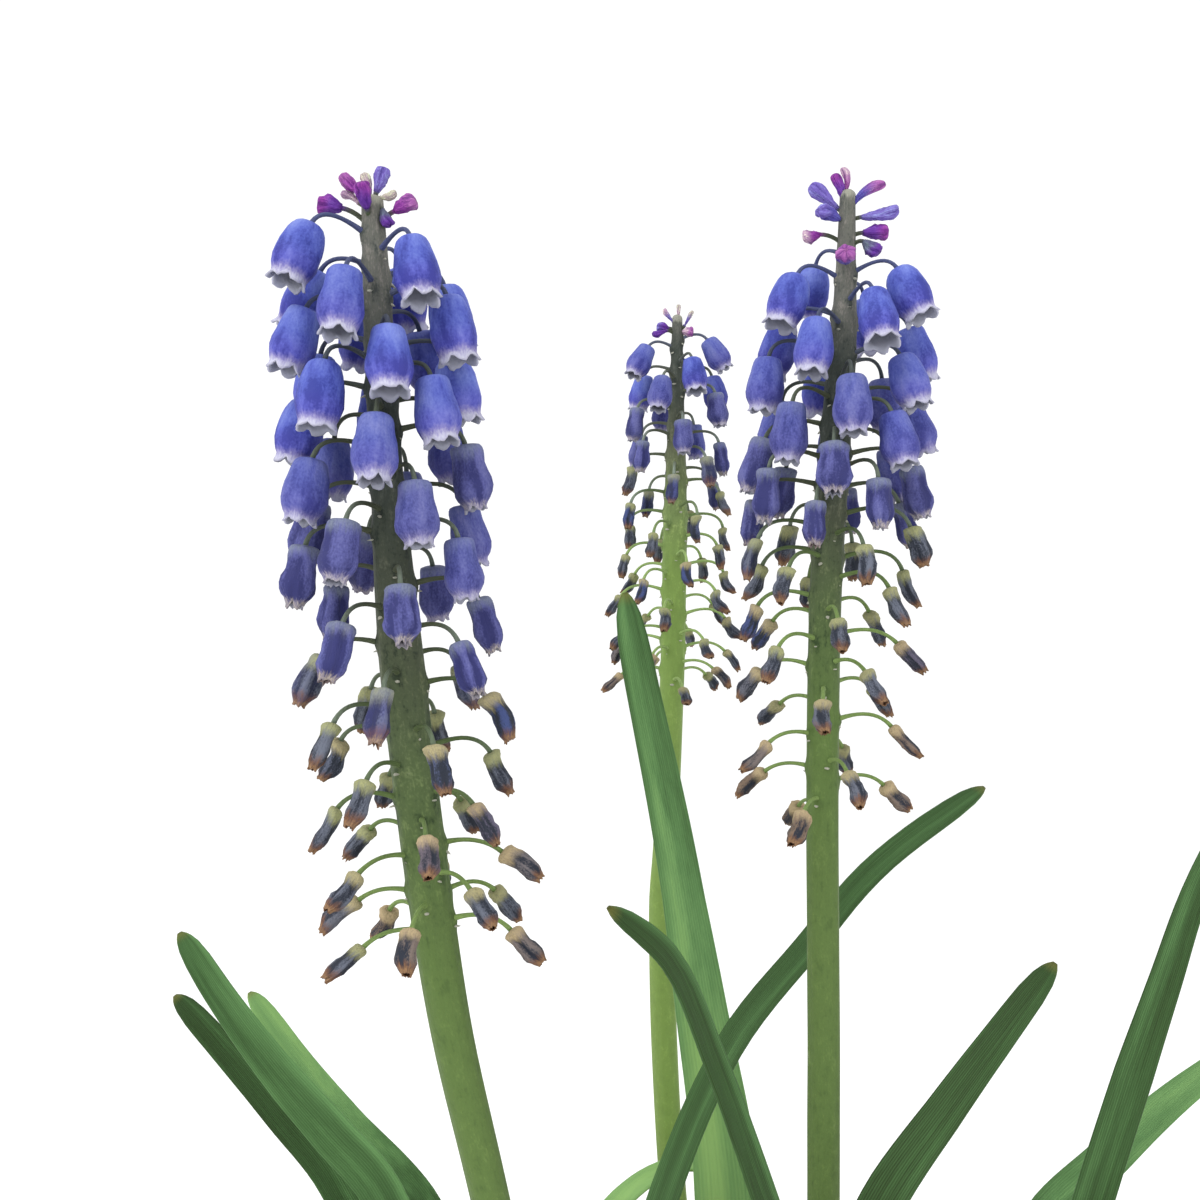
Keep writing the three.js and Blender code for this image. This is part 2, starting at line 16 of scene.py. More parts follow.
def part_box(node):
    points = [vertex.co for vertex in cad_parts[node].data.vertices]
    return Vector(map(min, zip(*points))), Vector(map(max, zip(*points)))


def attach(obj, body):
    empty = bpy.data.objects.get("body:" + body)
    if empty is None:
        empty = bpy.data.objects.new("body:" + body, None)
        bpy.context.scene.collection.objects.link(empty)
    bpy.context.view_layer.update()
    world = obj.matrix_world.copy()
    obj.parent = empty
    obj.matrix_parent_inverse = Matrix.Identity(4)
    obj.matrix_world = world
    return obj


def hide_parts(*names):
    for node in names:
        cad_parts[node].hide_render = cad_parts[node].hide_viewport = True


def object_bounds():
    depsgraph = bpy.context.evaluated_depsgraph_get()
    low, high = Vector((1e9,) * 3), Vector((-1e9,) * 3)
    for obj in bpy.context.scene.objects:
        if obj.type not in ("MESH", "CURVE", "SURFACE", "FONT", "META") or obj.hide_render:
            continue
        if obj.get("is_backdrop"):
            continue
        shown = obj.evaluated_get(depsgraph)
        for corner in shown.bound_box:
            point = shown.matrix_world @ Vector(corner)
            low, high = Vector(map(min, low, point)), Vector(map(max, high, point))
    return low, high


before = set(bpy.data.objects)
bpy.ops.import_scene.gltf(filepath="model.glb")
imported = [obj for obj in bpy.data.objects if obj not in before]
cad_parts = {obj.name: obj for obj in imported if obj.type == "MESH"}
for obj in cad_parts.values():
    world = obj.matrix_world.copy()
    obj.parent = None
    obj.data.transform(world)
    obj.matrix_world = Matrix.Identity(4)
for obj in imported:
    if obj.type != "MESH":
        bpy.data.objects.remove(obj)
CAD_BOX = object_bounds()

bl_info = {
    "name": "Grape Hyacinth in a Pot",
    "version": (1, 0, 0),
    "blender": (4, 5, 0),
    "location": "3D View > Sidebar > Hyacinth",
    "description": "Builds a pot of grape hyacinths, its soil, bulbs, leaves and racemes",
    "category": "Add Mesh",
}

MM = 0.001
UP = Vector((0, 0, 1))
MAP_NAME = "OFBake"  # each rod's own place on its piece's map

# ---- The plant, in millimetres ----

NECK_TOP = 62  # the flat tops of the bulbs
GAP = 0.3  # between neighbouring pieces
SOIL_LEVEL = 70
BULBS = {
    "left": (-6.5, -25), "right": (11, -6), "back": (1, 25), "side_right": (27.4, 6.8),
    "side_left": (-21, 5),
}

# Each leaf: the foot on the soil, the way its inner face looks, its full width, the share of it
# left at seven tenths of its length and near the tip, how light its green is below and towards
# the tip (the lightest run into a painted glow), where across it a painted highlight band runs
# and how strong that is, and its route to the tip.
LEAVES = {
    "front": ((14.5, -8.6), (0.55, -0.75, 0.45), 2.9, (0.94, 0.8), (0.12, 0.16), (-0.85, 0.4), [
        (12.6, -14, 86), (10.2, -18.2, 99), (7.4, -20.6, 111), (4.1, -20.6, 121),
        (-0.7, -21.5, 134.5), (-4.1, -23, 142.4), (-8.9, -25, 147.1)]),
    "middle": ((2.8, 20.9), (-0.2, -0.95, -0.1), 7.5, (0.62, 0.48), (1.05, 0.45), (0.45, 0.35), [
        (4.2, 17.5, 88), (4.6, 14.2, 106), (1.5, 14, 127.5), (-1.6, 14, 146), (-5.2, 14, 163.5),
        (-6.8, 14, 171.8)]),
    "crossing": ((-9, -21.5), (-0.45, -0.75, 0.5), 3.4, (0.92, 0.82), (0.36, 0.34), (-0.4, 0.1), [
        (-10, -16.5, 86), (-7.5, -8.5, 101), (-3, 0, 113.3), (4, 5, 126.2), (12, 8, 134.9),
        (20, 12, 142.4), (32.9, 17, 150.3)]),
    "right": ((7.2, -8.2), (-0.5, -0.75, 0.4), 4.6, (0.86, 0.6), (0.12, 0.15), (-0.8, 0.12), [
        (8, -10.5, 90), (9.9, -12.3, 104), (15, -13, 118.1), (21.1, -12, 126.3),
        (26.3, -10.5, 132.3), (31.4, -9.5, 138.4)]),
    "far_right": ((30.5, 3.5), (-0.35, -0.9, 0.2), 3.7, (0.98, 0.66), (0.36, 0.22), (0.5, 0.2), [
        (33.2, 1.2, 92), (38.4, 0, 112.7), (42.6, 1.5, 123.4), (46.5, 2.5, 133.3),
        (49.5, 3, 141.4), (53.1, 3, 149.4)]),
    "low_right": ((31.8, 9.3), (-0.45, -0.7, 0.6), 4.7, (0.94, 0.6), (0.45, 0.95), (0.3, 0.15), [
        (34, 12.5, 88), (38.6, 15.6, 102), (47, 18, 108.7), (54.8, 19.2, 114.9),
        (65.4, 21, 121.6)]),
    "left": ((-24.5, 2.5), (0.5, -0.75, 0.45), 4.9, (0.9, 0.64), (0.46, 0.46), (-0.95, 0.3), [
        (-26.8, 4.8, 92), (-32, 8, 109), (-38.2, 10, 115.2), (-44, 12, 120.6),
        (-50.4, 14, 127.8), (-55.3, 15, 134.8)]),
    "left_behind": ((-25, 7), (0.5, -0.7, 0.5), 3.9, (0.98, 0.78), (0.3, 0.14), (-0.5, 0.15), [
        (-29, 11.2, 88), (-39.2, 17, 106.8), (-45.4, 19, 113.1), (-51.5, 20.6, 119.2),
        (-58.1, 22, 125.8)]),
    "left_back": ((-21, 9.4), (0.5, -0.7, 0.5), 4.2, (0.92, 0.7), (0.2, 1.1), (-0.4, 0.1), [
        (-23.4, 18, 85), (-30, 27, 98.7), (-39.5, 29, 108.3), (-46, 31, 114.9),
        (-52.6, 33, 122.8)]),
    "low_middle": ((-16.8, 6), (-0.24, -0.3, 1), 3.6, (0.9, 0.55), (1.1, 1.3), (0, 0.1), [
        (-15.4, 7.8, 86), (-12.3, 10.5, 98), (-7, 14.5, 105.8), (0.5, 19, 107.6),
        (8.5, 20.8, 102.5)]),
    "arch_front_left": ((-9.5, -28), (0.21, 0.28, 1), 4.6, (0.92, 0.55),
        (0.6, 0.35), (0.1, 0.25), [
        (-12.4, -32, 88), (-19, -41, 98), (-27, -51, 97), (-34, -60, 88)]),
    "arch_front": ((-3, -27.6), (-0.13, 0.27, 1), 4.2, (0.92, 0.55), (0.7, 0.5), (-0.2, 0.2), [
        (-0.5, -32, 88), (5, -43, 97), (10, -53, 93), (13.5, -60, 82)]),
    "arch_front_right": ((15.3, -4.9), (-0.2, 0.29, 1), 4.4, (0.92, 0.55),
        (0.6, 0.3), (0.2, 0.25), [
        (20, -11, 89), (29, -24, 99), (38, -37, 97), (45, -47, 86)]),
    "arch_right": ((28.5, 11.3), (-0.16, -0.31, 1), 4.5, (0.92, 0.55), (0.7, 0.55), (-0.1, 0.2), [
        (31.5, 18, 84), (37.5, 30, 92), (43.5, 41, 90), (49, 50, 83)]),
    "arch_back": ((2.6, 29), (-0.1, -0.33, 1), 4.6, (0.92, 0.55), (0.6, 0.4), (0.2, 0.2), [
        (4, 33, 80), (7, 43, 87), (10.5, 54, 87), (13, 63, 80)]),
    "arch_back_left": ((-2.8, 27.2), (0.23, -0.26, 1), 4.3, (0.92, 0.55),
        (0.65, 0.5), (-0.2, 0.2), [
        (-6, 32, 80), (-13, 41, 87), (-22.5, 51, 86.5), (-30, 58, 79)]),
    "arch_left": ((-20.3, 0.7), (0.29, 0.2, 1), 4.5, (0.92, 0.55), (0.6, 0.35), (0.1, 0.25), [
        (-25, -5, 88), (-37, -14, 97), (-49, -21, 93), (-58, -26, 81)]),
}

# Each raceme: the stem's axis and its radius at heights, the florets' number and the rule that
# places them, from the top down, how light its green is and the sterile clubs at its end. A club
# has the turn from the front, the height over the stem's end and the reach from its axis where
# it starts, how far below that its stalk leaves the stem, its lean from up, its length, its
# width and its two tints, near the stalk and at its end.
RACEMES = {
    "left": dict(
        seed=44508,
        axis=[(-7.4, -25, 79), (-12.2, -25, 99), (-18, -25, 124.4), (-21.2, -25, 138.5),
              (-24.3, -25, 160.4), (-26, -25, 179.5), (-27.2, -25, 202)],
        radius=[(62, 1.5), (124, 1.52), (139, 1.65), (152, 1.76), (166, 1.76), (172, 1.6),
                (179, 1.3), (192, 1.15), (202, 0.85)],
        florets=64, start=309.9, divergence=-137.255, top=197.1, span=53.9,
        crowding=(0.01, -0.12), reach=(5.95, 1.62, -0.25), size=1, wilts=(0.3, 0.78), light=0,
        clubs=[
            (265, 0.5, 0.9, 0.8, 45, 2.3, 1.1, "magenta", "orchid"),
            (345, -0.9, 1.1, 0.6, 30, 2.1, 1.3, "purple", "magenta"),
            (240, 0.3, 0.3, 0.6, 14, 2.1, 0.85, "rose", "cream"),
            (95, 0.7, 0.3, 0.9, 18, 2.1, 1.15, "violet", "violet"),
            (250, 0, 1.2, 0.6, 58, 1.8, 0.75, "rose", "rose"),
            (80, 0.2, 0.65, 0.6, 76, 1.4, 0.7, "cream", "cream"),
            (275, -0.6, 2.35, 1.5, 80, 1.95, 1.5, "purple", "magenta"),
            (78, -0.9, 1.75, 1.2, 70, 2, 1.35, "magenta", "orchid"),
            (60, -0.8, 0.95, 0.1, 150, 1.6, 1, "slate", "purple"),
        ],
    ),
    "right": dict(
        seed=14381,
        axis=[(11, -6, 80), (11.2, -6, 127), (11.1, -6, 156.3), (11.4, -6, 172), (12.2, -6, 185),
              (13, -6, 195.1), (13.4, -6, 208.5)],
        radius=[(62, 1.5), (127, 1.5), (183, 1.45), (190, 1.35), (195, 1.2), (202, 0.9),
                (208, 0.72)],
        florets=59, start=202.2, divergence=-136.7, top=200.5, span=51, crowding=(-0.12, 0.5),
        reach=(6.3, 4.06, -3.5), size=1, wilts=(0.26, 0.62), light=0,
        clubs=[
            (270, 0.3, 0.1, 0.4, 8, 2.3, 0.8, "orchid", "rose"),
            (280, -0.3, 0.5, 0.5, 22, 2.35, 1.05, "purple", "magenta"),
            (265, -1.3, 0.85, 0.5, 48, 3.5, 1.4, "violet", "violet"),
            (300, -2.4, 0.9, 0.4, 82, 2.7, 1.4, "blue", "violet"),
            (85, -1, 0.45, 0.5, 56, 3.7, 1.05, "blue", "orchid"),
            (95, -2.05, 1.35, 0.3, 77, 3.7, 1.4, "violet", "violet"),
            (262, -3.6, 2.4, 1.1, 90, 1.7, 1.2, "magenta", "rose"),
            (100, -3.45, 1.6, 0.55, 86, 2.5, 1.5, "purple", "magenta"),
            (70, -4.5, 1.6, 0.6, 128, 1.9, 1.45, "slate", "purple"),
            (349, -6.4, 1.3, 0.5, 75, 1.9, 1.8, "violet", "orchid"),
        ],
    ),
    "back": dict(
        seed=29917,
        axis=[(0.6, 25, 82), (-1.7, 25, 113), (-2.3, 25, 135.7), (-1.9, 25, 142),
              (-1.1, 25, 162), (-0.7, 25, 184), (-0.5, 25, 203.8)],
        radius=[(62, 1.2), (74, 1.2), (100, 1.55), (130, 1.5), (150, 1.4), (180, 1.4),
                (186, 1.2), (197, 0.76), (203, 0.6)],
        florets=54, start=75.4, divergence=-137.17, top=199.8, span=39.5, crowding=(0.24, 0.1),
        reach=(4.4, 4.08, -1.13), size=0.8, wilts=(0.1, 0.48), light=1,
        clubs=[
            (280, -0.35, 0.5, 0.4, 36, 1.85, 0.6, "violet", "rose"),
            (90, 0.1, 0.1, 0.4, 3, 1.6, 0.55, "rose", "cream"),
            (85, -0.85, 0.85, 0.5, 30, 2.05, 0.55, "violet", "cream"),
            (265, -1.1, 0.95, 0.3, 85, 1.5, 1, "purple", "violet"),
            (290, -1.5, 1.35, 0.5, 109, 1.9, 0.8, "purple", "purple"),
            (80, -1.6, 0.6, 0.3, 95, 1.35, 1.25, "rose", "orchid"),
        ],
    ),
}

# The florets' rule, as values along the raceme from its top at 0 to 1.
LENGTH = (5, 3.55)  # fresh and withered
WIDTH = (3.6, 1.75)
DROP = [(0, 2.2), (0.3, 3.6), (0.5, 3.2), (0.8, 1.8), (1, 1.8)]  # stalk's root to bell's middle
HANG = [(0, 26), (0.12, 14), (0.45, 10), (0.62, 24), (0.8, 42), (1, 48)]  # degrees from plumb
SHAKES = {"turn": 7, "height": 0.6, "reach": 0.45, "hang": 7}
SUNK = 0.5

# A floret's age by how far withering has come at its place, and the outline from its stalk to its
# mouth: the share of its length, then the share of its half width at each of four ages.
AGEING = [(-0.6, 0), (-0.1, 0.2), (0.35, 0.42), (0.5, 0.58), (0.75, 0.86), (1, 1)]
AGES = (0, 0.42, 0.7, 1)
OUTLINE = [
    (0.00, 0.22, 0.46, 0.48, 0.44), (0.02, 0.44, 0.64, 0.68, 0.70), (0.06, 0.62, 0.71, 0.76, 0.90),
    (0.12, 0.76, 0.74, 0.79, 0.94), (0.20, 0.87, 0.77, 0.80, 0.94), (0.30, 0.95, 0.82, 0.82, 0.88),
    (0.42, 0.99, 0.89, 0.87, 0.87), (0.55, 1.00, 0.96, 0.94, 0.93), (0.67, 0.97, 1.00, 0.98, 0.99),
    (0.77, 0.91, 0.94, 0.92, 0.95), (0.85, 0.84, 0.80, 0.77, 0.82), (0.91, 0.79, 0.60, 0.58, 0.63),
    (0.955, 0.77, 0.47, 0.44, 0.49), (1.00, 0.78, 0.48, 0.42, 0.44),
]
THROAT = (1.0, 0.94, 0.85, 0.7, 0.5, 0.36)  # the inner wall's rows, from the lips inwards

# ---- Settings ----


def length(name, description, value):
    """A length setting in metres, given in millimetres."""
    return FloatProperty(name=name, description=description, default=value * MM, min=0,
                         precision=5, unit="LENGTH")


def number(name, description, value):
    """A plain setting."""
    return FloatProperty(name=name, description=description, default=value, min=0)


def share(name, description, value):
    """A setting from 0 to 1."""
    return FloatProperty(name=name, description=description, default=value, min=0, max=1,
                         subtype="FACTOR")


def colour(name, description, red, green, blue):
    """A colour setting, given from 0 to 255."""
    return FloatVectorProperty(name=name, description=description, subtype="COLOR_GAMMA", size=3,
                               default=(red / 255, green / 255, blue / 255), min=0, max=1)


class StageSettings(bpy.types.PropertyGroup):
    """Camera, lights and floor."""

    eye: FloatVectorProperty(name="Camera", description="Where the camera stands", size=3,
                             default=(-0.0095, -0.125, 0.171), subtype="TRANSLATION")
    field: FloatProperty(name="Field of view", description="Width of the camera's view",
                         default=math.radians(50), subtype="ANGLE")
    sky: number("Sky", "Strength of the white light from all sides", 1.08)
    key: number("Key light", "Power of the large soft light, in watts", 8)
    fill: number("Fill light", "Power of the light from the right, in watts", 1.2)
    floor: colour("Floor", "Colour of the floor", 251, 251, 251)


class PotSettings(bpy.types.PropertyGroup):
    """The clay pot."""

    foot: length("Foot radius", "Outer radius at the foot", 35)
    neck: length("Neck radius", "Outer radius under the rim", 44.5)
    rim: length("Rim radius", "Outer radius of the rim", 50)
    band: length("Rim height", "Height of the rim band", 17)
    wall: length("Wall", "Thickness of the wall", 4.5)
    base: length("Base", "Thickness of the base", 6)
    lip: length("Lip", "Rounding of the rim's edges", 1.2)
    drain: length("Drain radius", "Radius of each drain hole", 2.5)
    circle: length("Drain circle", "Distance of the drain holes from the middle", 16)
    drains: IntProperty(name="Drains", description="Number of drain holes", default=5, min=0)
    clay: colour("Clay", "Colour of the fired clay", 186, 104, 66)
    pale: colour("Bloom", "Colour of the lime bloom on the clay", 214, 176, 150)
    damp: colour("Damp", "Colour of damp clay", 140, 72, 45)


class SoilSettings(bpy.types.PropertyGroup):
    """The potting soil."""

    mound: length("Mound", "Height of the middle over the edge", 1.5)
    relief: length("Relief", "Height of the lumps", 1.4)
    crumbs: IntProperty(name="Crumbs", description="Number of loose crumbs", default=1100, min=0)
    crumb: length("Crumb size", "Usual radius of a crumb", 0.9)
    fibres: IntProperty(name="Fibres", description="Number of peat fibres", default=90, min=0)
    earth: colour("Earth", "Colour of dry peat", 92, 70, 52)
    damp: colour("Damp earth", "Colour of damp peat", 34, 25, 19)
    fibre: colour("Fibre", "Colour of the dark peat fibres", 111, 85, 60)
    straw: colour("Straw", "Colour of the pale peat fibres", 149, 121, 89)


class BulbSettings(bpy.types.PropertyGroup):
    """The bulbs in the soil."""

    radius: length("Radius", "Largest radius of a bulb", 8.7)
    height: length("Height", "Height of a bulb", 18)
    tunic: colour("Tunic", "Colour of the papery skin", 150, 108, 70)
    creases: colour("Creases", "Colour of the skin's creases", 89, 66, 47)
    flesh: colour("Flesh", "Colour of the pale scales under it", 222, 205, 172)


class LeafSettings(bpy.types.PropertyGroup):
    """The leaves."""

    foot: length("Foot radius", "Radius of a leaf where it stands on its bulb", 1.2)
    straight: length("Straight foot", "Length of the upright foot", 9)
    rib: length("Rib", "Thickness in the middle of a blade", 1.0)
    edge: length("Edge", "Thickness near the edge of a blade", 0.62)
    channel: share("Channel", "How far the edges stand up, as a share of the width", 0.16)
    veins: IntProperty(name="Veins", description="Veins across half a blade", default=9, min=1)
    dark: colour("Dark green", "Colour of the darkest blades", 40, 58, 28)
    green: colour("Green", "Colour of the middling blades", 60, 90, 50)
    light: colour("Light green", "Colour of the light blades", 86, 124, 74)
    pale: colour("Pale green", "Colour of the pale blades", 106, 145, 88)
    # A painted glow of light through the palest blades, beyond the pale green.
    painted_glow: colour("Bright green", "Colour of the palest blades", 132, 170, 100)
    tip: colour("Tip", "Colour of the tips", 118, 116, 58)


class ScapeSettings(bpy.types.PropertyGroup):
    """The stems and the florets' stalks."""

    stalk: length("Stalk radius", "Radius of a floret's stalk", 0.175)
    bract: length("Bract", "Length of the scale under a stalk", 0.5)
    crown: colour("Stem's end", "Colour among the sterile clubs", 94, 95, 88)
    dusk: colour("Dusky green", "Colour among the fresh florets", 56, 62, 56)
    moss: colour("Moss green", "Colour among the violet florets", 70, 76, 60)
    green: colour("Green", "Colour among the withered florets", 78, 95, 58)
    pale: colour("Pale green", "Colour below the raceme", 84, 106, 56)
    blue: colour("Blue stalk", "Colour of the fresh florets' stalks", 72, 79, 114)
    lime: colour("Lime stalk", "Colour of the withered florets' stalks", 114, 138, 80)
    end: colour("Stalk's end", "Colour of a stalk where it meets its floret", 124, 136, 124)
    scale: colour("Bract colour", "Colour of the scales and the stem's tip", 178, 178, 162)


class FloretSettings(bpy.types.PropertyGroup):
    """The florets."""

    lobes: IntProperty(name="Lobes", description="Lobes round a mouth", default=6, min=3)
    wall: length("Petal", "Thickness of a floret's wall", 0.2)
    lip: share("Lip", "How far a lobe hangs below its notch, as a share of the length", 0.12)
    flare: share("Flare", "How far a lobe curls out, as a share of the half width", 0.24)
    deep: colour("Deep blue", "Colour of a fresh bell's darkest clouds", 54, 62, 138)
    blue: colour("Blue", "Colour of a fresh bell", 76, 87, 168)
    light: colour("Light blue", "Colour of a fresh bell's light clouds", 94, 107, 182)
    # The bells' own powdery bloom, with a painted highlight where light falls on the shoulders.
    bloom: colour("Bloom", "Colour of the powdery shoulders", 114, 128, 196)
    haze: colour("Haze", "Colour above the lobes", 142, 134, 174)
    white: colour("Lobes", "Colour of the lobes", 184, 184, 200)
    # The dark end for an ageing bell's dark clouds and for the painted shade in its folds.
    plum_and_fold_shade: colour("Plum", "Colour of an ageing bell's folds", 50, 52, 100)
    violet: colour("Violet", "Colour of an ageing bell", 80, 82, 136)
    lilac: colour("Lilac", "Colour of an ageing bell's light clouds", 102, 104, 154)
    cap: colour("Cap", "Colour of an ageing bell's top", 120, 128, 140)
    # The dark end for a withered floret's dark clouds and for the painted shade in its folds.
    ink_and_fold_shade: colour("Ink", "Dark folds of a withered floret", 44, 48, 58)
    slate: colour("Slate", "Colour of a withered floret", 98, 103, 116)
    dusk: colour("Dusk", "Colour of a few withered florets", 66, 78, 122)
    olive: colour("Olive", "Colour of a withered floret's top", 150, 152, 108)
    tan: colour("Tan", "Colour of the lowest florets' tops", 172, 154, 120)
    fawn: colour("Fawn", "Colour of the lowest florets", 124, 106, 90)
    rust: colour("Rust", "Colour of a withered mouth", 108, 74, 54)
    straw: colour("Straw", "Colour of the dry tips", 150, 118, 84)
    # The inside's own pale tint, lightened as painted light where the bell's inside lies in shade.
    throat: colour("Throat", "Colour inside a bell", 150, 152, 166)
    lips: colour("Lips", "Colour of an ageing bell's torn lips", 176, 166, 152)
    gape: colour("Gape", "Colour inside a withered floret", 120, 88, 66)


class ClubSettings(bpy.types.PropertyGroup):
    """The sterile clubs at the stem's end."""

    stalk: length("Stalk radius", "Radius of a club's stalk", 0.2)
    magenta: colour("Magenta", "A club's tint", 128, 52, 140)
    purple: colour("Purple", "A club's tint", 98, 52, 146)
    violet: colour("Violet", "A club's tint", 110, 94, 172)
    blue: colour("Blue", "A club's tint", 84, 76, 158)
    orchid: colour("Orchid", "A club's tint", 150, 84, 152)
    rose: colour("Rose", "A club's tint", 184, 150, 176)
    cream: colour("Cream", "A club's tint", 186, 172, 166)
    slate: colour("Slate", "A club's tint", 90, 92, 118)
    olive: colour("Olive", "Colour of a club's stalk", 76, 80, 66)


# ---- Small helpers ----


def mm(metres):
    """A setting's length in millimetres."""
    return metres / MM


def lerp(low, high, part):
    return low + (high - low) * part


def ease(low, high, value):
    """A smooth rise from 0 at low to 1 at high."""
    part = min(max((value - low) / (high - low), 0), 1)
    return part * part * (3 - 2 * part)


def stepped(pairs, at):
    """The value of straight stretches between (place, value) pairs."""
    if at <= pairs[0][0]:
        return pairs[0][1]
    for (low, first), (high, last) in zip(pairs, pairs[1:]):
        if at <= high:
            return lerp(first, last, (at - low) / (high - low))
    return pairs[-1][1]


def scattered(lots, radius):
    """An even draw from a level disc."""
    radius *= math.sqrt(lots.random())
    angle = lots.uniform(0, math.tau)
    return radius * math.cos(angle), radius * math.sin(angle)


def on_circle(angle, size=1, height=0):
    """A point on a level circle."""
    return Vector((size * math.cos(angle), size * math.sin(angle), height))


def outward(degrees):
    """A level direction, turned from the front towards +X."""
    angle = math.radians(degrees)
    return Vector((math.sin(angle), -math.cos(angle), 0))


def draws(seed):
    """Numbers from 0 to 1 in the order in which the solid racemes draw theirs."""
    word = 0xFFFFFFFF
    state = seed
    while True:
        state = (state + 0x6D2B79F5) & word
        mixed = ((state ^ (state >> 15)) * (1 | state)) & word
        mixed = ((mixed + ((mixed ^ (mixed >> 7)) * (61 | mixed))) & word) ^ mixed
        yield ((mixed ^ (mixed >> 14)) & word) / 4294967296


class Route:
    """A smooth curve through points, read by its share of length."""

    def __init__(self, points):
        points = [Vector(p) for p in points]
        points = [2 * points[0] - points[1], *points, 2 * points[-1] - points[-2]]
        self.spans = [self.span(*points[i:i + 4]) for i in range(len(points) - 3)]
        steps = 24 * len(self.spans)
        self.places = [i / steps for i in range(steps + 1)]
        self.reached = [0.0]
        for a, b in zip(self.places, self.places[1:]):
            self.reached.append(self.reached[-1] + (self.point(b) - self.point(a)).length)
        self.length = self.reached[-1]

    @staticmethod
    def span(before, start, end, after):
        """The cubic from start to end, with centripetal spacing."""
        first, middle, last = (
            (b - a).length ** 0.5 for a, b in ((before, start), (start, end), (end, after)))
        into = ((start - before) / first - (end - before) / (first + middle)
                + (end - start) / middle) * middle
        out = ((end - start) / middle - (after - start) / (middle + last)
               + (after - end) / last) * middle
        return start, into, 3 * (end - start) - 2 * into - out, 2 * (start - end) + into + out

    def point(self, place):
        at = min(max(place, 0), 1) * len(self.spans)
        index = min(int(at), len(self.spans) - 1)
        t = at - index
        a, b, c, d = self.spans[index]
        return a + t * (b + t * (c + t * d))

    def at(self, part):
        """The point at a share of the length."""
        goal = min(max(part, 0), 1) * self.length
        index = min(max(bisect_left(self.reached, goal), 1), len(self.reached) - 1)
        low, high = self.reached[index - 1], self.reached[index]
        place = lerp(self.places[index - 1], self.places[index], (goal - low) / (high - low))
        return self.point(place)

    def heading(self, part):
        """The direction at a share of the length."""
        return (self.at(part + 0.004) - self.at(part - 0.004)).normalized()


# ---- Meshes ----

RODS = {}


def rod_mesh(sides, rows):
    """A closed rod of unit radius from z = 0 to rows, with a face row for each unit."""
    bm = bmesh.new()
    bmesh.ops.create_cone(bm, cap_ends=True, cap_tris=True, segments=sides, radius1=1, radius2=1,
                          depth=rows, matrix=Matrix.Translation((0, 0, rows / 2)))
    lengthwise = [e for e in bm.edges if abs(e.verts[0].co.z - e.verts[1].co.z) > 0.5]
    bmesh.ops.subdivide_edges(bm, edges=lengthwise, cuts=rows - 1, use_grid_fill=True)
    mesh = bpy.data.meshes.new(f"rod_{sides}_{rows}")
    bm.to_mesh(mesh)
    bm.free()
    return mesh


class Form:
    """A piece's mesh while it is made, with the values that its material reads."""

    def __init__(self, *values):
        self.bm = bmesh.new()
        self.values = [self.bm.verts.layers.float_vector.new(name) for name in values]
        self.map = self.bm.loops.layers.uv.new(MAP_NAME)

    def rod(self, sides, rows, place, cell=(0, 0, 1, 1)):
        """Adds a closed rod. place(angle, row, on_skin) gives each vertex its point and its
        values; on_skin is 0 in the middle of an end. cell is the rod's part of the map."""
        if (sides, rows) not in RODS:
            RODS[sides, rows] = rod_mesh(sides, rows)
        verts, faces = len(self.bm.verts), len(self.bm.faces)
        self.bm.from_mesh(RODS[sides, rows])
        self.bm.verts.ensure_lookup_table()
        self.bm.faces.ensure_lookup_table()
        verts, faces = self.bm.verts[verts:], self.bm.faces[faces:]
        self.lay_out(faces, rows, cell)
        for vert in verts:
            x, y, z = vert.co
            vert.co, *values = place(math.atan2(y, x), round(z), round(math.hypot(x, y)))
            for layer, value in zip(self.values, values):
                vert[layer] = value

    def lay_out(self, faces, rows, cell):
        """Gives an unbent rod's faces their places on the map: round it by along it."""
        left, low, wide, high = cell
        for face in faces:
            middle = face.calc_center_median()
            turn = math.atan2(middle.y, middle.x) / math.tau % 1
            for loop in face.loops:
                x, y, z = loop.vert.co
                across, along = turn, 0.03 + 0.94 * z / rows
                if math.hypot(x, y) > 0.5:
                    across += (math.atan2(y, x) / math.tau - turn + 0.5) % 1 - 0.5
                else:
                    along = z / rows
                loop[self.map].uv = (left + wide * across, low + high * along)

    def finished(self, name, paint, slot, *nodes):
        """The piece: merged, facing out, in metres, riding on the frame in place of the nodes."""
        bmesh.ops.scale(self.bm, vec=(MM, MM, MM), verts=self.bm.verts)
        bmesh.ops.remove_doubles(self.bm, verts=self.bm.verts, dist=1e-7)
        bmesh.ops.recalc_face_normals(self.bm, faces=self.bm.faces)
        mesh = bpy.data.meshes.new(name)
        self.bm.to_mesh(mesh)
        self.bm.free()
        mesh.shade_smooth()
        mesh.materials.append(paint)
        piece = bpy.data.objects.new(name, mesh)
        bpy.context.scene.collection.objects.link(piece)
        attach(piece, "root")
        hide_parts(*nodes)
        return piece


def cells(count, area=(0, 0, 1, 1)):
    """Equal parts of the map, one for each of count rods."""
    left, low, wide, high = area
    columns = math.ceil(math.sqrt(count))
    rows = math.ceil(count / columns)
    gap = 0.06
    for index in range(count):
        column, row = index % columns, index // columns
        yield (left + wide * (column + gap / 2) / columns, low + high * (row + gap / 2) / rows,
               wide * (1 - gap) / columns, high * (1 - gap) / rows)


def bent(path, widths, side):
    """A place function for a round rod along path(part), with radius widths(part). side is a
    level direction across the path."""
    def place(angle, part, on_skin):
        middle = path(part)
        along = (path(part + 0.01) - path(part - 0.01)).normalized()
        rise = along.cross(side).normalized()
        across = rise.cross(along)
        reach = on_skin * widths(part)
        return middle + reach * (math.cos(angle) * across + math.sin(angle) * rise)
    return place


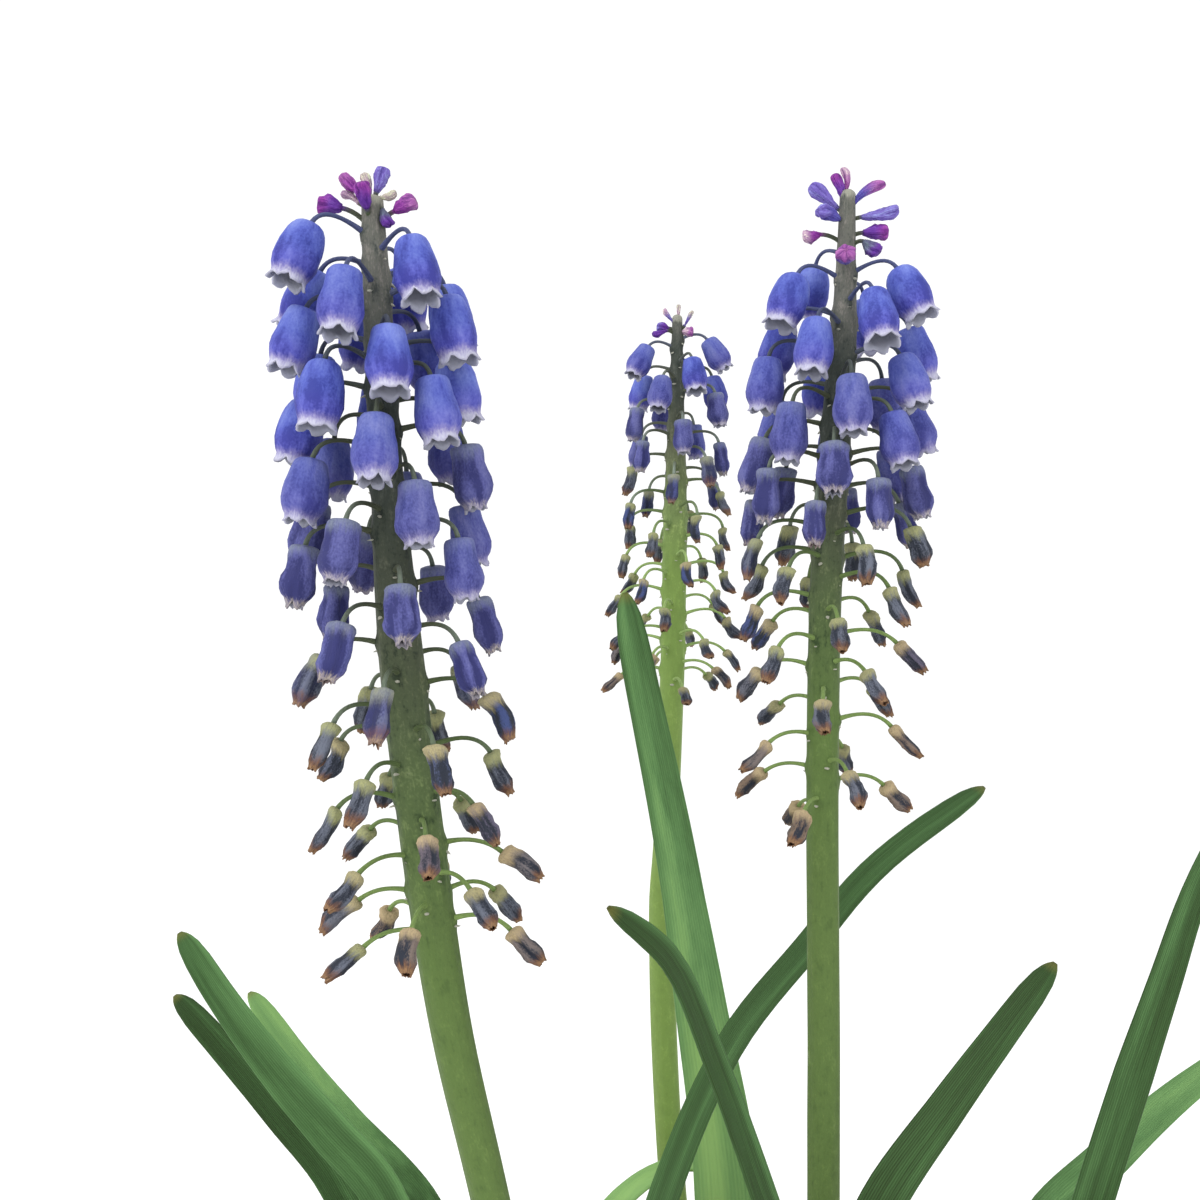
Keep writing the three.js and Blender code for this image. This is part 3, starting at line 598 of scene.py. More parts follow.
def arch(start, end, heading):
    """A bowed path that comes to its end along heading."""
    bow = end - heading * 0.5 * (end - start).length
    return lambda s: (1 - s) ** 2 * start + 2 * s * (1 - s) * bow + s * s * end


# ---- Materials ----


class Shade:
    """A value in a material's nodes. Arithmetic on it adds Math nodes, and add() any other."""

    def __init__(self, tree, socket=None):
        self.tree = tree
        self.socket = socket

    def add(self, kind, inputs, output=0, stops=(), **settings):
        """Adds a node: its settings first, then the values or links of its inputs."""
        node = self.tree.nodes.new("ShaderNode" + kind)
        for name, value in settings.items():
            setattr(node, name, value)
        for index, (at, tint) in enumerate(stops):
            elements = node.color_ramp.elements
            element = elements[0] if index == 0 else elements.new(at)
            if index == 0:
                elements.remove(elements[1])
            element.position, element.color = at, tint
        for key, value in inputs.items():
            if isinstance(value, Shade):
                self.tree.links.new(value.socket, node.inputs[key])
            else:
                node.inputs[key].default_value = value
        return Shade(self.tree, node.outputs[output] if node.outputs else None)

    def math(self, operation, first, second=0.0):
        return self.add("Math", {0: first, 1: second}, operation=operation)

    def __add__(self, other):
        return self.math("ADD", self, other)

    def __sub__(self, other):
        return self.math("SUBTRACT", self, other)

    def __rsub__(self, other):
        return self.math("SUBTRACT", other, self)

    def __mul__(self, other):
        return self.math("MULTIPLY", self, other)

    __radd__ = __add__
    __rmul__ = __mul__

    def step(self, low, high):
        """A smooth rise from 0 at low to 1 at high."""
        return self.add("MapRange", {0: self, 1: low, 2: high}, interpolation_type="SMOOTHSTEP")

    def mix(self, low, high):
        """The colour low where this is 0 and high where it is 1."""
        return self.add("Mix", {0: self, 6: linear(low), 7: linear(high)}, output=2,
                        data_type="RGBA")

    def ramp(self, *stops):
        """The colour settings at their places, with straight stretches between."""
        stops = [(place, linear(tint)) for place, tint in stops]
        return self.add("ValToRGB", {0: self}, stops=stops)

    def part(self, index):
        """One of a vector's three numbers."""
        return self.add("SeparateXYZ", {0: self}, output=index)

    def scaled(self, *factors):
        """A vector times a factor for each axis."""
        return self.add("VectorMath", {0: self, 1: factors}, operation="MULTIPLY")

    def moved(self, other):
        """A vector plus another, or plus one number on each axis."""
        return self.add("VectorMath", {0: self, 1: other}, operation="ADD")

    def noise(self, scale, detail=2.0, roughness=0.5):
        """Soft noise at a vector, about 0.5."""
        return self.add("TexNoise", {
            "Vector": self, "Scale": scale, "Detail": detail, "Roughness": roughness})


class Grain:
    """Clouds, lengthwise streaks and specks round 0, each at its own scale of a vector."""

    def __init__(self, at, cloud, streak, fine):
        self.cloud = at.scaled(*cloud).noise(1.0, 4.0, 0.6) - 0.5
        self.streak = at.scaled(*streak).noise(1.0, 3.0, 0.55) - 0.5
        self.fine = at.scaled(*fine).noise(1.0, 2.0) - 0.5


def new_paint(name):
    """A material and the start of its nodes."""
    paint = bpy.data.materials.new(name)
    paint.use_nodes = True
    paint.node_tree.nodes.clear()
    return paint, Shade(paint.node_tree)


def on_object(start):
    """A point's place on its object, in metres."""
    return start.add("TexCoord", {}, output="Object")


def stored(start, name):
    """A value stored in the mesh."""
    return start.add("Attribute", {}, output="Vector", attribute_name=name)


def coat(start, tint, roughness, height, depth, specular=0.12):
    """The surface itself: its colour, its roughness and its fine relief, depth metres high."""
    bump = start.add("Bump", {"Strength": 1.0, "Distance": depth, "Height": height})
    inputs = {"Base Color": linear(tint), "Roughness": roughness, "Normal": bump,
              "Specular IOR Level": specular}
    start.add("OutputMaterial", {0: start.add("BsdfPrincipled", inputs)})


def linear(tint):
    """A colour setting as the shaders take it, or a shade as it is."""
    if isinstance(tint, Shade):
        return tint
    return (*Color(tint).from_srgb_to_scene_linear(), 1.0)


# ---- Stage ----


class HYACINTH_OT_stage(bpy.types.Operator):
    """Sets the camera, the soft lights and the pale floor"""

    bl_idname = "hyacinth.stage"
    bl_label = "Stage"

    def execute(self, context):
        look = context.scene.hyacinth.stage
        self.camera(context.scene, look)
        self.sky(context.scene, look)
        self.floor(context.scene, look)
        self.lamp(context.scene, "key", (-0.55, -0.6, 0.95), look.key, 0.7)
        self.lamp(context.scene, "fill", (0.75, -0.45, 0.35), look.fill, 0.6)
        context.scene.view_settings.view_transform = "Standard"
        return {"FINISHED"}

    def camera(self, scene, look):
        data = bpy.data.cameras.new("camera")
        data.sensor_width = 36
        data.lens = data.sensor_width / 2 / math.tan(look.field / 2)
        data.clip_start = 0.005
        camera = bpy.data.objects.new("camera", data)
        camera.location = look.eye
        camera.rotation_euler = (math.radians(90), 0, 0)
        scene.collection.objects.link(camera)
        scene.camera = camera

    def sky(self, scene, look):
        scene.world = bpy.data.worlds.new("sky")
        scene.world.use_nodes = True
        sky = scene.world.node_tree.nodes["Background"]
        sky.inputs["Color"].default_value = (1, 1, 1, 1)
        sky.inputs["Strength"].default_value = look.sky

    def floor(self, scene, look):
        bm = bmesh.new()
        bmesh.ops.create_grid(bm, x_segments=1, y_segments=1, size=3)
        mesh = bpy.data.meshes.new("floor")
        bm.to_mesh(mesh)
        bm.free()
        paint, start = new_paint("floor_paint")
        grain = on_object(start).noise(900, 3.0)
        coat(start, look.floor, 0.85, grain, 0.00005)
        mesh.materials.append(paint)
        floor = bpy.data.objects.new("floor", mesh)
        scene.collection.objects.link(floor)
        floor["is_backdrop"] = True

    def lamp(self, scene, name, place, power, width):
        data = bpy.data.lights.new(name, "AREA")
        data.energy = power
        data.size = width
        lamp = bpy.data.objects.new(name, data)
        lamp.location = place
        aim = Vector((0, 0, 0.15)) - lamp.location
        lamp.rotation_euler = aim.to_track_quat("-Z", "Y").to_euler()
        scene.collection.objects.link(lamp)


# ---- Pot ----


def pot_inside(look, z):
    """The pot's inner radius at a height below the rim's lip."""
    top = mm(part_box("pot")[1].z)
    wall = mm(look.wall)
    return stepped([(0, mm(look.foot) - wall), (top - mm(look.band), mm(look.neck) - wall),
                    (top, mm(look.rim) - wall)], z)


class HYACINTH_OT_pot(bpy.types.Operator):
    """Turns the clay pot and cuts its drain holes"""

    bl_idname = "hyacinth.pot"
    bl_label = "Pot"

    STEPS = 112  # round the pot
    LONG = 12  # an outline's edge from which it is divided

    def execute(self, context):
        look = context.scene.hyacinth.pot
        form = Form()
        form.bm.loops.layers.uv.remove(form.map)
        self.turn(form.bm, look)
        drains = self.drains(look)
        pot = form.finished("clay_pot", self.paint(look), "clay", "pot")
        self.cut(context, pot, drains)
        return {"FINISHED"}

    def turn(self, bm, look):
        top = mm(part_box("pot")[1].z)
        shoulder = top - mm(look.band)
        rim, lip, base = mm(look.rim), mm(look.lip), mm(look.base)
        corners = [
            (0, 0, 0), (mm(look.foot), 0, 1.0), (mm(look.neck), shoulder, 0.6),
            (rim, shoulder, lip), (rim, top, lip), (pot_inside(look, top), top, lip),
            (pot_inside(look, shoulder), shoulder, 3), (pot_inside(look, base), base, 3),
            (0, base, 0),
        ]
        verts = [bm.verts.new((r, 0, z)) for r, z, _ in corners]
        for pair in zip(verts, verts[1:]):
            bm.edges.new(pair)
        for vert, (_, _, rounding) in list(zip(verts, corners))[1:-1]:
            bmesh.ops.bevel(bm, geom=[vert], offset=rounding, segments=4, profile=0.5,
                            affect="VERTICES", material=-1)
        long_edges = [e for e in bm.edges if e.calc_length() > self.LONG]
        bmesh.ops.subdivide_edges(bm, edges=long_edges, cuts=5)
        bmesh.ops.spin(bm, geom=[*bm.verts, *bm.edges], axis=(0, 0, 1), cent=(0, 0, 0),
                       angle=math.tau, steps=self.STEPS, use_merge=True)

    def drains(self, look):
        bm = bmesh.new()
        for index in range(look.drains):
            at = outward(360 * index / look.drains) * mm(look.circle)
            bmesh.ops.create_cone(bm, cap_ends=True, segments=24, radius1=mm(look.drain),
                                  radius2=mm(look.drain), depth=6 * mm(look.base),
                                  matrix=Matrix.Translation(at))
        bmesh.ops.scale(bm, vec=(MM, MM, MM), verts=bm.verts)
        mesh = bpy.data.meshes.new("drains")
        bm.to_mesh(mesh)
        bm.free()
        return bpy.data.objects.new("drains", mesh)

    def cut(self, context, pot, drains):
        context.scene.collection.objects.link(drains)
        modifier = pot.modifiers.new("drains", "BOOLEAN")
        modifier.object = drains
        modifier.solver = "MANIFOLD"  # the exact one splits flat faces anew on each run
        whole = pot.evaluated_get(context.evaluated_depsgraph_get())
        pot.data = bpy.data.meshes.new_from_object(whole)
        pot.modifiers.clear()
        bpy.data.objects.remove(drains)

    def paint(self, look):
        paint, start = new_paint("clay_paint")
        place = on_object(start)
        height = place.part(2)
        cloud = place.noise(38, 5.0, 0.6)
        speck = place.noise(900, 3.0, 0.7)
        streak = place.scaled(1, 1, 0.12).noise(160, 3.0)
        clay = (cloud * 0.9 + speck * 0.35 - 0.1).mix(look.damp, look.clay)
        bloom = (cloud * 1.1 + streak * 0.8 - 0.35).step(0.62, 0.92)
        rising = 1 - height.step(0.004, 0.03)
        pale = (bloom * (0.35 + 0.5 * rising)).mix(clay, look.pale)
        rings = start.math("SINE", height * 5200 + cloud * 9)
        relief = speck * 0.6 + rings * 0.12 + streak * 0.3
        coat(start, pale, 0.78 + speck * 0.16, relief, 0.00018, specular=0.25)
        return paint


# ---- Soil ----


def soil_top(look, x, y):
    """The height of the soil's surface."""
    radius = math.hypot(x, y)
    spot = Vector((x, y, 5))
    lumps = 0.55 * noise.noise(spot * 0.16) + 0.4 * noise.noise(spot * 0.45)
    lumps += 0.28 * abs(noise.noise(spot * 1.1)) + 0.12 * noise.noise(spot * 2.6)
    height = SOIL_LEVEL + mm(look.mound) * (1 - radius / 38) + mm(look.relief) * lumps
    for foot, *_ in LEAVES.values():
        height -= 0.7 * math.exp(-((x - foot[0]) ** 2 + (y - foot[1]) ** 2) / 5)
    for name in RACEMES:
        at = BULBS[name]
        height -= 0.8 * math.exp(-((x - at[0]) ** 2 + (y - at[1]) ** 2) / 7)
    return height


class HYACINTH_OT_soil(bpy.types.Operator):
    """Fills the pot with soil, crumbs and peat fibres"""

    bl_idname = "hyacinth.soil"
    bl_label = "Soil"

    SIDES, ROWS = 150, 66
    BOTTOM = 21  # radius of the flat underside
    CRUMBS_WITHIN, FIBRES_WITHIN = 43, 40  # of the pot's axis
    BODY_AREA, CRUMB_AREA = (0, 0, 1, 0.89), (0, 0.9, 1, 0.1)
    FIBRE_AREA = (0.99, 0.99, 0.01, 0.01)

    def execute(self, context):
        look = context.scene.hyacinth.soil
        pot = context.scene.hyacinth.pot
        lots = random.Random(5)
        form = Form("grain")
        self.body(form, look, pot)
        for cell in cells(look.crumbs, self.CRUMB_AREA):
            self.crumb(form, look, lots, cell)
        for _ in range(look.fibres):
            self.fibre(form, look, lots)
        form.finished("soil_body", self.paint(look), "potting_soil", "soil")
        return {"FINISHED"}

    def body(self, form, look, pot):
        low, shoulder = 8, SOIL_LEVEL - 1
        wall = [(1, mm(pot.base) + GAP), (low, shoulder)]
        edge = pot_inside(pot, shoulder) - GAP

        def place(angle, row, on_skin):
            if row <= low:
                z = stepped(wall, row)
                radius = on_skin * (pot_inside(pot, z) - GAP if row else self.BOTTOM)
                x, y = radius * math.cos(angle), radius * math.sin(angle)
                return Vector((x, y, z)), (0.5, 0, 0)
            radius = on_skin * edge * (1 - (row - low) / (self.ROWS - low + 0.6)) ** 0.9
            x, y = radius * math.cos(angle), radius * math.sin(angle)
            return Vector((x, y, soil_top(look, x, y))), (0.5, 0, 0)

        form.rod(self.SIDES, self.ROWS, place, self.BODY_AREA)

    def crumb(self, form, look, lots, cell):
        x, y = scattered(lots, self.CRUMBS_WITHIN)
        size = mm(look.crumb) * lots.choice((0.35, 0.4, 0.5, 0.6, 0.8, 1.0, 1.4))
        size *= lots.uniform(0.7, 1.2)
        axis = Vector((lots.random(), 1, lots.random()))
        turn = Matrix.Rotation(lots.uniform(0, math.tau), 4, axis)
        made = bmesh.ops.create_icosphere(form.bm, subdivisions=1, radius=size, matrix=turn)
        for loop in {loop for vert in made["verts"] for loop in vert.link_loops}:
            spot = loop.vert.co / size
            loop[form.map].uv = (cell[0] + cell[2] * (0.5 + 0.45 * spot.x),
                                 cell[1] + cell[3] * (0.5 + 0.45 * spot.y))
        tone = lots.random()
        rise = soil_top(look, x, y) + 0.15 * size
        for vert in made["verts"]:
            vert.co *= lots.uniform(0.75, 1.2)
            vert.co.z *= 0.75
            vert.co += Vector((x, y, rise))
            vert[form.values[0]] = (tone, 1, 0)

    def fibre(self, form, look, lots):
        x, y = scattered(lots, self.FIBRES_WITHIN)
        turn = lots.uniform(0, math.tau)
        half, thick = lots.uniform(1.0, 2.6), lots.uniform(0.08, 0.18)
        bow, tone = lots.uniform(-0.5, 0.5), lots.random()
        along = Vector((math.cos(turn), math.sin(turn), lots.uniform(-0.15, 0.15)))
        side = Vector((-math.sin(turn), math.cos(turn), 0))
        base = Vector((x, y, soil_top(look, x, y) + 0.35))
        path = arch(base - along * half, base + along * half, (along - side * bow).normalized())
        shaped = bent(path, lambda s: thick, side)
        form.rod(5, 4, lambda a, row, skin: (shaped(a, row / 4, skin), (tone, 2, 0)),
                 self.FIBRE_AREA)

    def paint(self, look):
        paint, start = new_paint("soil_paint")
        place = on_object(start)
        tone = stored(start, "grain").part(0)
        kind = stored(start, "grain").part(1)
        lumps = place.noise(500, 5.0, 0.65)
        fine = place.noise(3000, 3.0, 0.6)
        wet = lumps * 1.5 + fine * 0.9 + tone * 0.6 - 0.98
        earth = wet.mix(look.damp, look.earth)
        fibre = kind.step(1.4, 1.6)
        straw = tone.mix(look.fibre, look.straw)
        coat(start, fibre.mix(earth, straw), 0.9, lumps + fine * 0.5, 0.0005, specular=0.15)
        return paint


# ---- Bulbs ----


class HYACINTH_OT_bulbs(bpy.types.Operator):
    """Makes the bulbs with their papery tunics"""

    bl_idname = "hyacinth.bulbs"
    bl_label = "Bulbs"

    # The share of a bulb's height over its root plate, and of its largest radius.
    OUTLINE = [(0, 0.40), (0.03, 0.50), (0.12, 0.68), (0.25, 0.86), (0.4, 0.98), (0.5, 1.0),
               (0.65, 0.94), (0.8, 0.85), (0.92, 0.76), (1, 0.70)]
    SIDES, ROWS = 44, 40

    def execute(self, context):
        look = context.scene.hyacinth.bulb
        paint = self.paint(look)
        for index, (name, at) in enumerate(BULBS.items()):
            form = Form("tunic")
            form.rod(self.SIDES, self.ROWS, self.shape(look, at, index))
            form.finished(f"tunic_{name}", paint, "bulb_skin", f"bulb_{name}")
        return {"FINISHED"}

    def shape(self, look, at, index):
        tall, wide = mm(look.height), mm(look.radius)

        def place(angle, row, on_skin):
            part = row / self.ROWS
            fold = noise.noise(on_circle(angle, 3, part + 9 * index))
            ridge = 0.012 * math.cos(11 * angle + 5 * fold) + 0.03 * fold
            radius = on_skin * wide * stepped(self.OUTLINE, part) * (0.97 + ridge)
            spot = Vector((at[0] + radius * math.cos(angle), at[1] + radius * math.sin(angle),
                           NECK_TOP - tall * (1 - part)))
            return spot, (part, 0.5 + fold, 0)
        return place

    def paint(self, look):
        paint, start = new_paint("tunic_paint")
        place = on_object(start)
        part = stored(start, "tunic").part(0)
        fold = stored(start, "tunic").part(1)
        fibres = place.scaled(1, 1, 0.08).noise(1400, 3.0)
        torn = (fibres * 0.5 + fold * 0.6 + part * 0.5).step(0.85, 1.0)
        skin = fibres.mix(look.creases, look.tunic)
        coat(start, torn.mix(skin, look.flesh), 0.62, fibres, 0.0002)
        return paint


# ---- Leaves ----


class HYACINTH_OT_leaves(bpy.types.Operator):
    """Grows the channelled leaves from their bulbs"""

    bl_idname = "hyacinth.leaves"
    bl_label = "Leaves"

    SIDES, ROWS = 28, 64
    TIP = [(0.93, 1), (0.956, 0.93), (0.978, 0.76), (0.992, 0.5), (1, 0.16)]  # share of the width

    def execute(self, context):
        look = context.scene.hyacinth.leaf
        paint = self.paint(look)
        for name, leaf in LEAVES.items():
            form = Form("blade", "band")
            form.rod(self.SIDES, self.ROWS, self.shape(look, *leaf))
            form.finished(f"blade_{name}", paint, "leaf_green", f"leaf_{name}")
        return {"FINISHED"}

    def shape(self, look, foot, faces, width, taper, tones, band, route):
        low = NECK_TOP + GAP
        straight, round_foot = mm(look.straight), mm(look.foot)
        curve = Route([(*foot, low), (*foot, low + straight), *route])
        buried = straight / curve.length
        inner = Vector(faces)
        widths = [(0, 2 * round_foot), (buried, 2 * round_foot), (0.4, width),
                  (0.7, width * taper[0])]
        widths += [(at, width * taper[1] * left) for at, left in self.TIP]
        stations = [(0, 0), (0.1, buried), (0.8, 0.93), (1, 1)]

        def place(angle, row, on_skin):
            part = stepped(stations, row / self.ROWS)
            middle = curve.at(part)
            along = UP if part <= buried else curve.heading(min(part, 0.995))
            across = inner.cross(along).normalized()
            face = along.cross(across)
            opened = ease(buried, 0.3, part)
            wide = stepped(widths, part)
            u = math.cos(angle)
            lift = look.channel * wide * (math.sqrt(u * u + 0.06) - 0.245) / 0.785
            thick = lerp(mm(look.rib), mm(look.edge), abs(u)) / 2 * min(1, wide / 1.2)
            v = lift + thick * math.copysign(abs(math.sin(angle)) ** 0.55, math.sin(angle))
            ripple = 0.05 * noise.noise(Vector((u, 30 * part, width))) * opened
            flat = Vector((lerp(round_foot * u, wide / 2 * u, opened),
                           lerp(round_foot * math.sin(angle), v + ripple, opened)))
            spot = middle + on_skin * (flat.x * across + flat.y * face)
            tone = lerp(*tones, ease(0.42, 0.95, part))
            # The band carries where across the blade its painted highlight runs and how strong it
            # is.
            return spot, (u * on_skin, part, tone), (*band, math.sin(angle))
        return place

    def paint(self, look):
        paint, start = new_paint("leaf_paint")
        blade, band = stored(start, "blade"), stored(start, "band")
        across, along, tone = (blade.part(i) for i in range(3))
        middle, pale, face = (band.part(i) for i in range(3))
        grain = Grain(blade, (1.6, 5, 9), (11, 6, 9), (30, 60, 9))
        cloud, fibre, fine = grain.cloud, grain.streak, grain.fine
        wave = (across + cloud * 0.08) * (look.veins * math.tau)
        vein = start.math("COSINE", wave)
        # Painted highlight: a paler band along each blade, where light falls across its channel.
        off = start.math("ABSOLUTE", across - middle + cloud * 0.3)
        paler = (1 - off.step(0.0, 0.6)) * pale
        crisp = 1 - tone.step(0.0, 0.5) * 0.6
        light = tone + cloud * 0.7 + paler + (fibre * 0.7 + fine * 0.3 + vein * 0.14) * crisp
        light = light + (1 - face.step(-0.3, 0.3)) * 0.12
        # Above pale green the ramp runs into a painted glow of light through the blade.
        green = (light * 0.7).ramp((0.0, look.dark), (0.28, look.green), (0.52, look.light),
                                   (0.7, look.pale), (1.0, look.painted_glow))
        tip = (along + fibre * 0.015).step(0.985, 1.0) * 0.6
        relief = vein * 0.3 + fibre * 0.6
        coat(start, tip.mix(green, look.tip), 0.5 + fibre * 0.2, relief, 0.00004)
        return paint


# ---- Racemes ----


class Scape:
    """A raceme's stem: its middle and its radius at any height."""

    STEPS = 200

    def __init__(self, name):
        self.name = name
        self.facts = RACEMES[name]
        self.low = NECK_TOP + GAP
        self.high = self.facts["axis"][-1][2]
        foot = [(*BULBS[name], z) for z in (self.low, SOIL_LEVEL + 2)]
        route = Route([*foot, *self.facts["axis"]])
        self.samples = [route.at(i / self.STEPS) for i in range(self.STEPS + 1)]
        self.heights = [p.z for p in self.samples]

    def at(self, z):
        index = min(max(bisect_left(self.heights, z), 1), self.STEPS)
        low, high = self.samples[index - 1], self.samples[index]
        part = min(max((z - low.z) / (high.z - low.z), 0), 1)
        return Vector((lerp(low.x, high.x, part), lerp(low.y, high.y, part), z))

    def radius(self, z):
        return stepped(self.facts["radius"], z)

    def stage(self, along):
        """How far withering has come at a share of the raceme, from 0 where it starts to 1."""
        start, end = self.facts["wilts"]
        return (along - start) / (end - start)

    def florets(self):
        """Each floret's place and form, from the top of the raceme down."""
        lots = draws(self.facts["seed"])
        return [Floret(self, index, lots) for index in range(self.facts["florets"])]


class Floret:
    """Where one floret hangs, how large it is and how far it has withered."""

    def __init__(self, scape, index, lots):
        facts = scape.facts
        size = facts["size"]

        def shake(kind):
            return SHAKES[kind] * (2 * next(lots) - 1)

        self.along = along = index / (facts["florets"] - 1)
        even, lower = facts["crowding"]
        passed = along + along * (1 - along) * (even + lower * (1 - 2 * along))
        self.out = outward(facts["start"] + facts["divergence"] * index + shake("turn"))
        height = facts["top"] - facts["span"] * passed + size * shake("height")
        first, second, third = facts["reach"]
        reach = first + second * along + third * along * along + size * shake("reach")
        lean = math.radians(stepped(HANG, along) + shake("hang"))
        self.wilted = ease(*facts["wilts"], along)
        self.leaves = height + size * stepped(DROP, along)
        self.length = size * lerp(*LENGTH, self.wilted)
        self.radius = size * lerp(*WIDTH, self.wilted) / 2
        self.down = self.out * math.sin(lean) - UP * math.cos(lean)
        stem = scape.at(self.leaves)
        middle = stem + self.out * reach
        middle.z = height
        self.top = middle - self.down * self.length / 2
        self.root = stem + self.out * (scape.radius(self.leaves) - SUNK)
        self.side = self.out.cross(UP).normalized()
        self.lots = random.Random(1000 * facts["seed"] + index)
        self.stage = scape.stage(along)
        self.age = min(max(stepped(AGEING, self.stage) + self.lots.uniform(-0.12, 0.1), 0), 1)


class HYACINTH_OT_scapes(bpy.types.Operator):
    """Grows the stems, the florets' stalks and the small bracts under them"""

    bl_idname = "hyacinth.scapes"
    bl_label = "Stems"

    STEM_AREA, STALK_AREA = (0, 0, 0.28, 1), (0.3, 0, 0.7, 0.9)
    BRACT_AREA = (0.3, 0.9, 0.7, 0.1)

    def execute(self, context):
        look = context.scene.hyacinth.scape
        paint = self.paint(look)
        for name in RACEMES:
            scape = Scape(name)
            florets = scape.florets()
            form = Form("around", "growth", "light")
            self.stem(form, scape, florets)
            for floret, cell in zip(florets, cells(len(florets), self.STALK_AREA)):
                self.stalk(form, look, scape, floret, cell)
            for floret, cell in zip(florets, cells(len(florets), self.BRACT_AREA)):
                self.bract(form, look, scape, floret, cell)
            form.finished(f"scape_{name}", paint, "leaf_green", f"raceme_{name}")
        return {"FINISHED"}

    def stem(self, form, scape, florets):
        sides, rows = 36, 190
        foot = scape.facts["top"] - scape.facts["span"] - 3
        heights = [(0, scape.low), (50, foot), (186, scape.high), (188, scape.high + 0.22),
                   (189, scape.high + 0.38), (190, scape.high + 0.45)]
        closing = [(0, 1), (186, 1), (188, 0.86), (189, 0.6), (190, 0.3)]
        roots = [(f.leaves, math.atan2(f.out.y, f.out.x)) for f in florets]

        def place(angle, row, on_skin):
            z = stepped(heights, row)
            middle = scape.at(min(z, scape.high))
            middle.z = z
            radius = scape.radius(z)
            swelling = 0
            for height, turn in roots:
                if abs(height - z) < 1.6:
                    off = (angle - turn + math.pi) % math.tau - math.pi
                    away = (off * radius / 0.5) ** 2 + ((height - z) / 0.6) ** 2
                    swelling += 0.27 * math.exp(-away)
            ribs = 0.018 * math.cos(5 * angle + 0.03 * z) + 0.012 * math.cos(11 * angle + 1)
            ribs += 0.02 * noise.noise(on_circle(angle, 2, 0.12 * z))
            reach = on_skin * stepped(closing, row) * (radius * (1 + ribs) + swelling)
            spot = middle + on_circle(angle, reach)
            stage = scape.stage((scape.facts["top"] - z) / scape.facts["span"])
            tip = ease(scape.high - 0.9, scape.high, z)
            return (spot, on_circle(angle, 1, z), (stage, -tip, swelling * 4),
                    (scape.facts["light"], 0, 0))

        form.rod(sides, rows, place, self.STEM_AREA)

    def stalk(self, form, look, scape, floret, cell):
        rows = 12
        size = scape.facts["size"] ** 0.5
        thick = mm(look.stalk) * size
        end = floret.top + floret.down * 0.12  # a little inside the bell's top
        widths = [(0, 1.9), (0.1, 1.3), (0.3, 1), (0.8, 1), (1, 1.25)]
        path = arch(floret.root, end, floret.down)
        shaped = bent(path, lambda s: thick * stepped(widths, s), floret.side)

        def place(angle, row, on_skin):
            part = row / rows
            return (shaped(angle, part, on_skin), on_circle(angle, 1, 3 * part),
                    (floret.stage, 1, part), (scape.facts["light"], 0, 0))

        form.rod(9, rows, place, cell)

    def bract(self, form, look, scape, floret, cell):
        lots = random.Random(floret.lots.random())
        long = mm(look.bract) * scape.facts["size"] * lots.uniform(0.6, 1.3)
        surface = scape.radius(floret.leaves)
        start = scape.at(floret.leaves - 0.45) + floret.out * (surface - 0.1)
        start += floret.side * lots.uniform(-0.25, 0.25)
        heading = (floret.out + UP * lots.uniform(-0.9, 0.2)).normalized()
        wide, thick = lots.uniform(0.16, 0.34), lots.uniform(0.07, 0.17)
        rows = 3
        rise = heading.cross(floret.side)

        def place(angle, row, on_skin):
            part = row / rows
            reach = on_skin * math.sin(math.pi * (0.25 + 0.7 * part))
            spot = start + heading * long * part + floret.side * wide * reach * math.cos(angle)
            spot += rise * thick * reach * math.sin(angle)
            return (spot, on_circle(angle, 1, part), (floret.stage, 2, part),
                    (scape.facts["light"], 0, 0))

        form.rod(6, rows, place, cell)

    def paint(self, look):
        paint, start = new_paint("scape_paint")
        around, growth = stored(start, "around"), stored(start, "growth")
        stage, kind, swell = (growth.part(i) for i in range(3))
        light = stored(start, "light").part(0)
        grain = Grain(around, (1.3, 1.3, 0.2), (3.2, 3.2, 0.3), (9, 9, 3.6))
        cloud, streak, fine = grain.cloud, grain.streak, grain.fine
        blot = around.scaled(1.5, 1.5, 0.8).noise(1.0, 4.0, 0.65) - 0.5
        come = (stage + 1) * 0.25 + cloud * 0.05 + streak * 0.03

        stem = come.ramp((0.05, look.crown), (0.11, look.crown), (0.17, look.dusk),
                         (0.26, look.dusk), (0.37, look.moss), (0.5, look.green), (0.62, look.pale))
        calm = 1 - come.step(0.5, 0.62) * 0.65
        bright = (streak * 1.5 + blot * 2.8 + fine * 1.8).step(0.05, 0.9) * calm
        stem = bright.mix(stem, stem.scaled(1.8, 1.65, 1.7))
        dark = (swell * 0.5 - streak * 1.6 - blot * 3.0 - fine * 1.2).step(0.05, 0.85)
        dark = dark * (1 - light * 0.5) * calm
        stem = dark.mix(stem, stem.scaled(0.4, 0.46, 0.48))
        stem = (light * come.step(0.1, 0.45)).mix(stem, stem.scaled(2.0, 1.9, 1.75))
        dry = (blot * 1.5 + streak - kind).step(0.3, 0.9)
        stem = (dry * 0.45).mix(stem, look.scale)

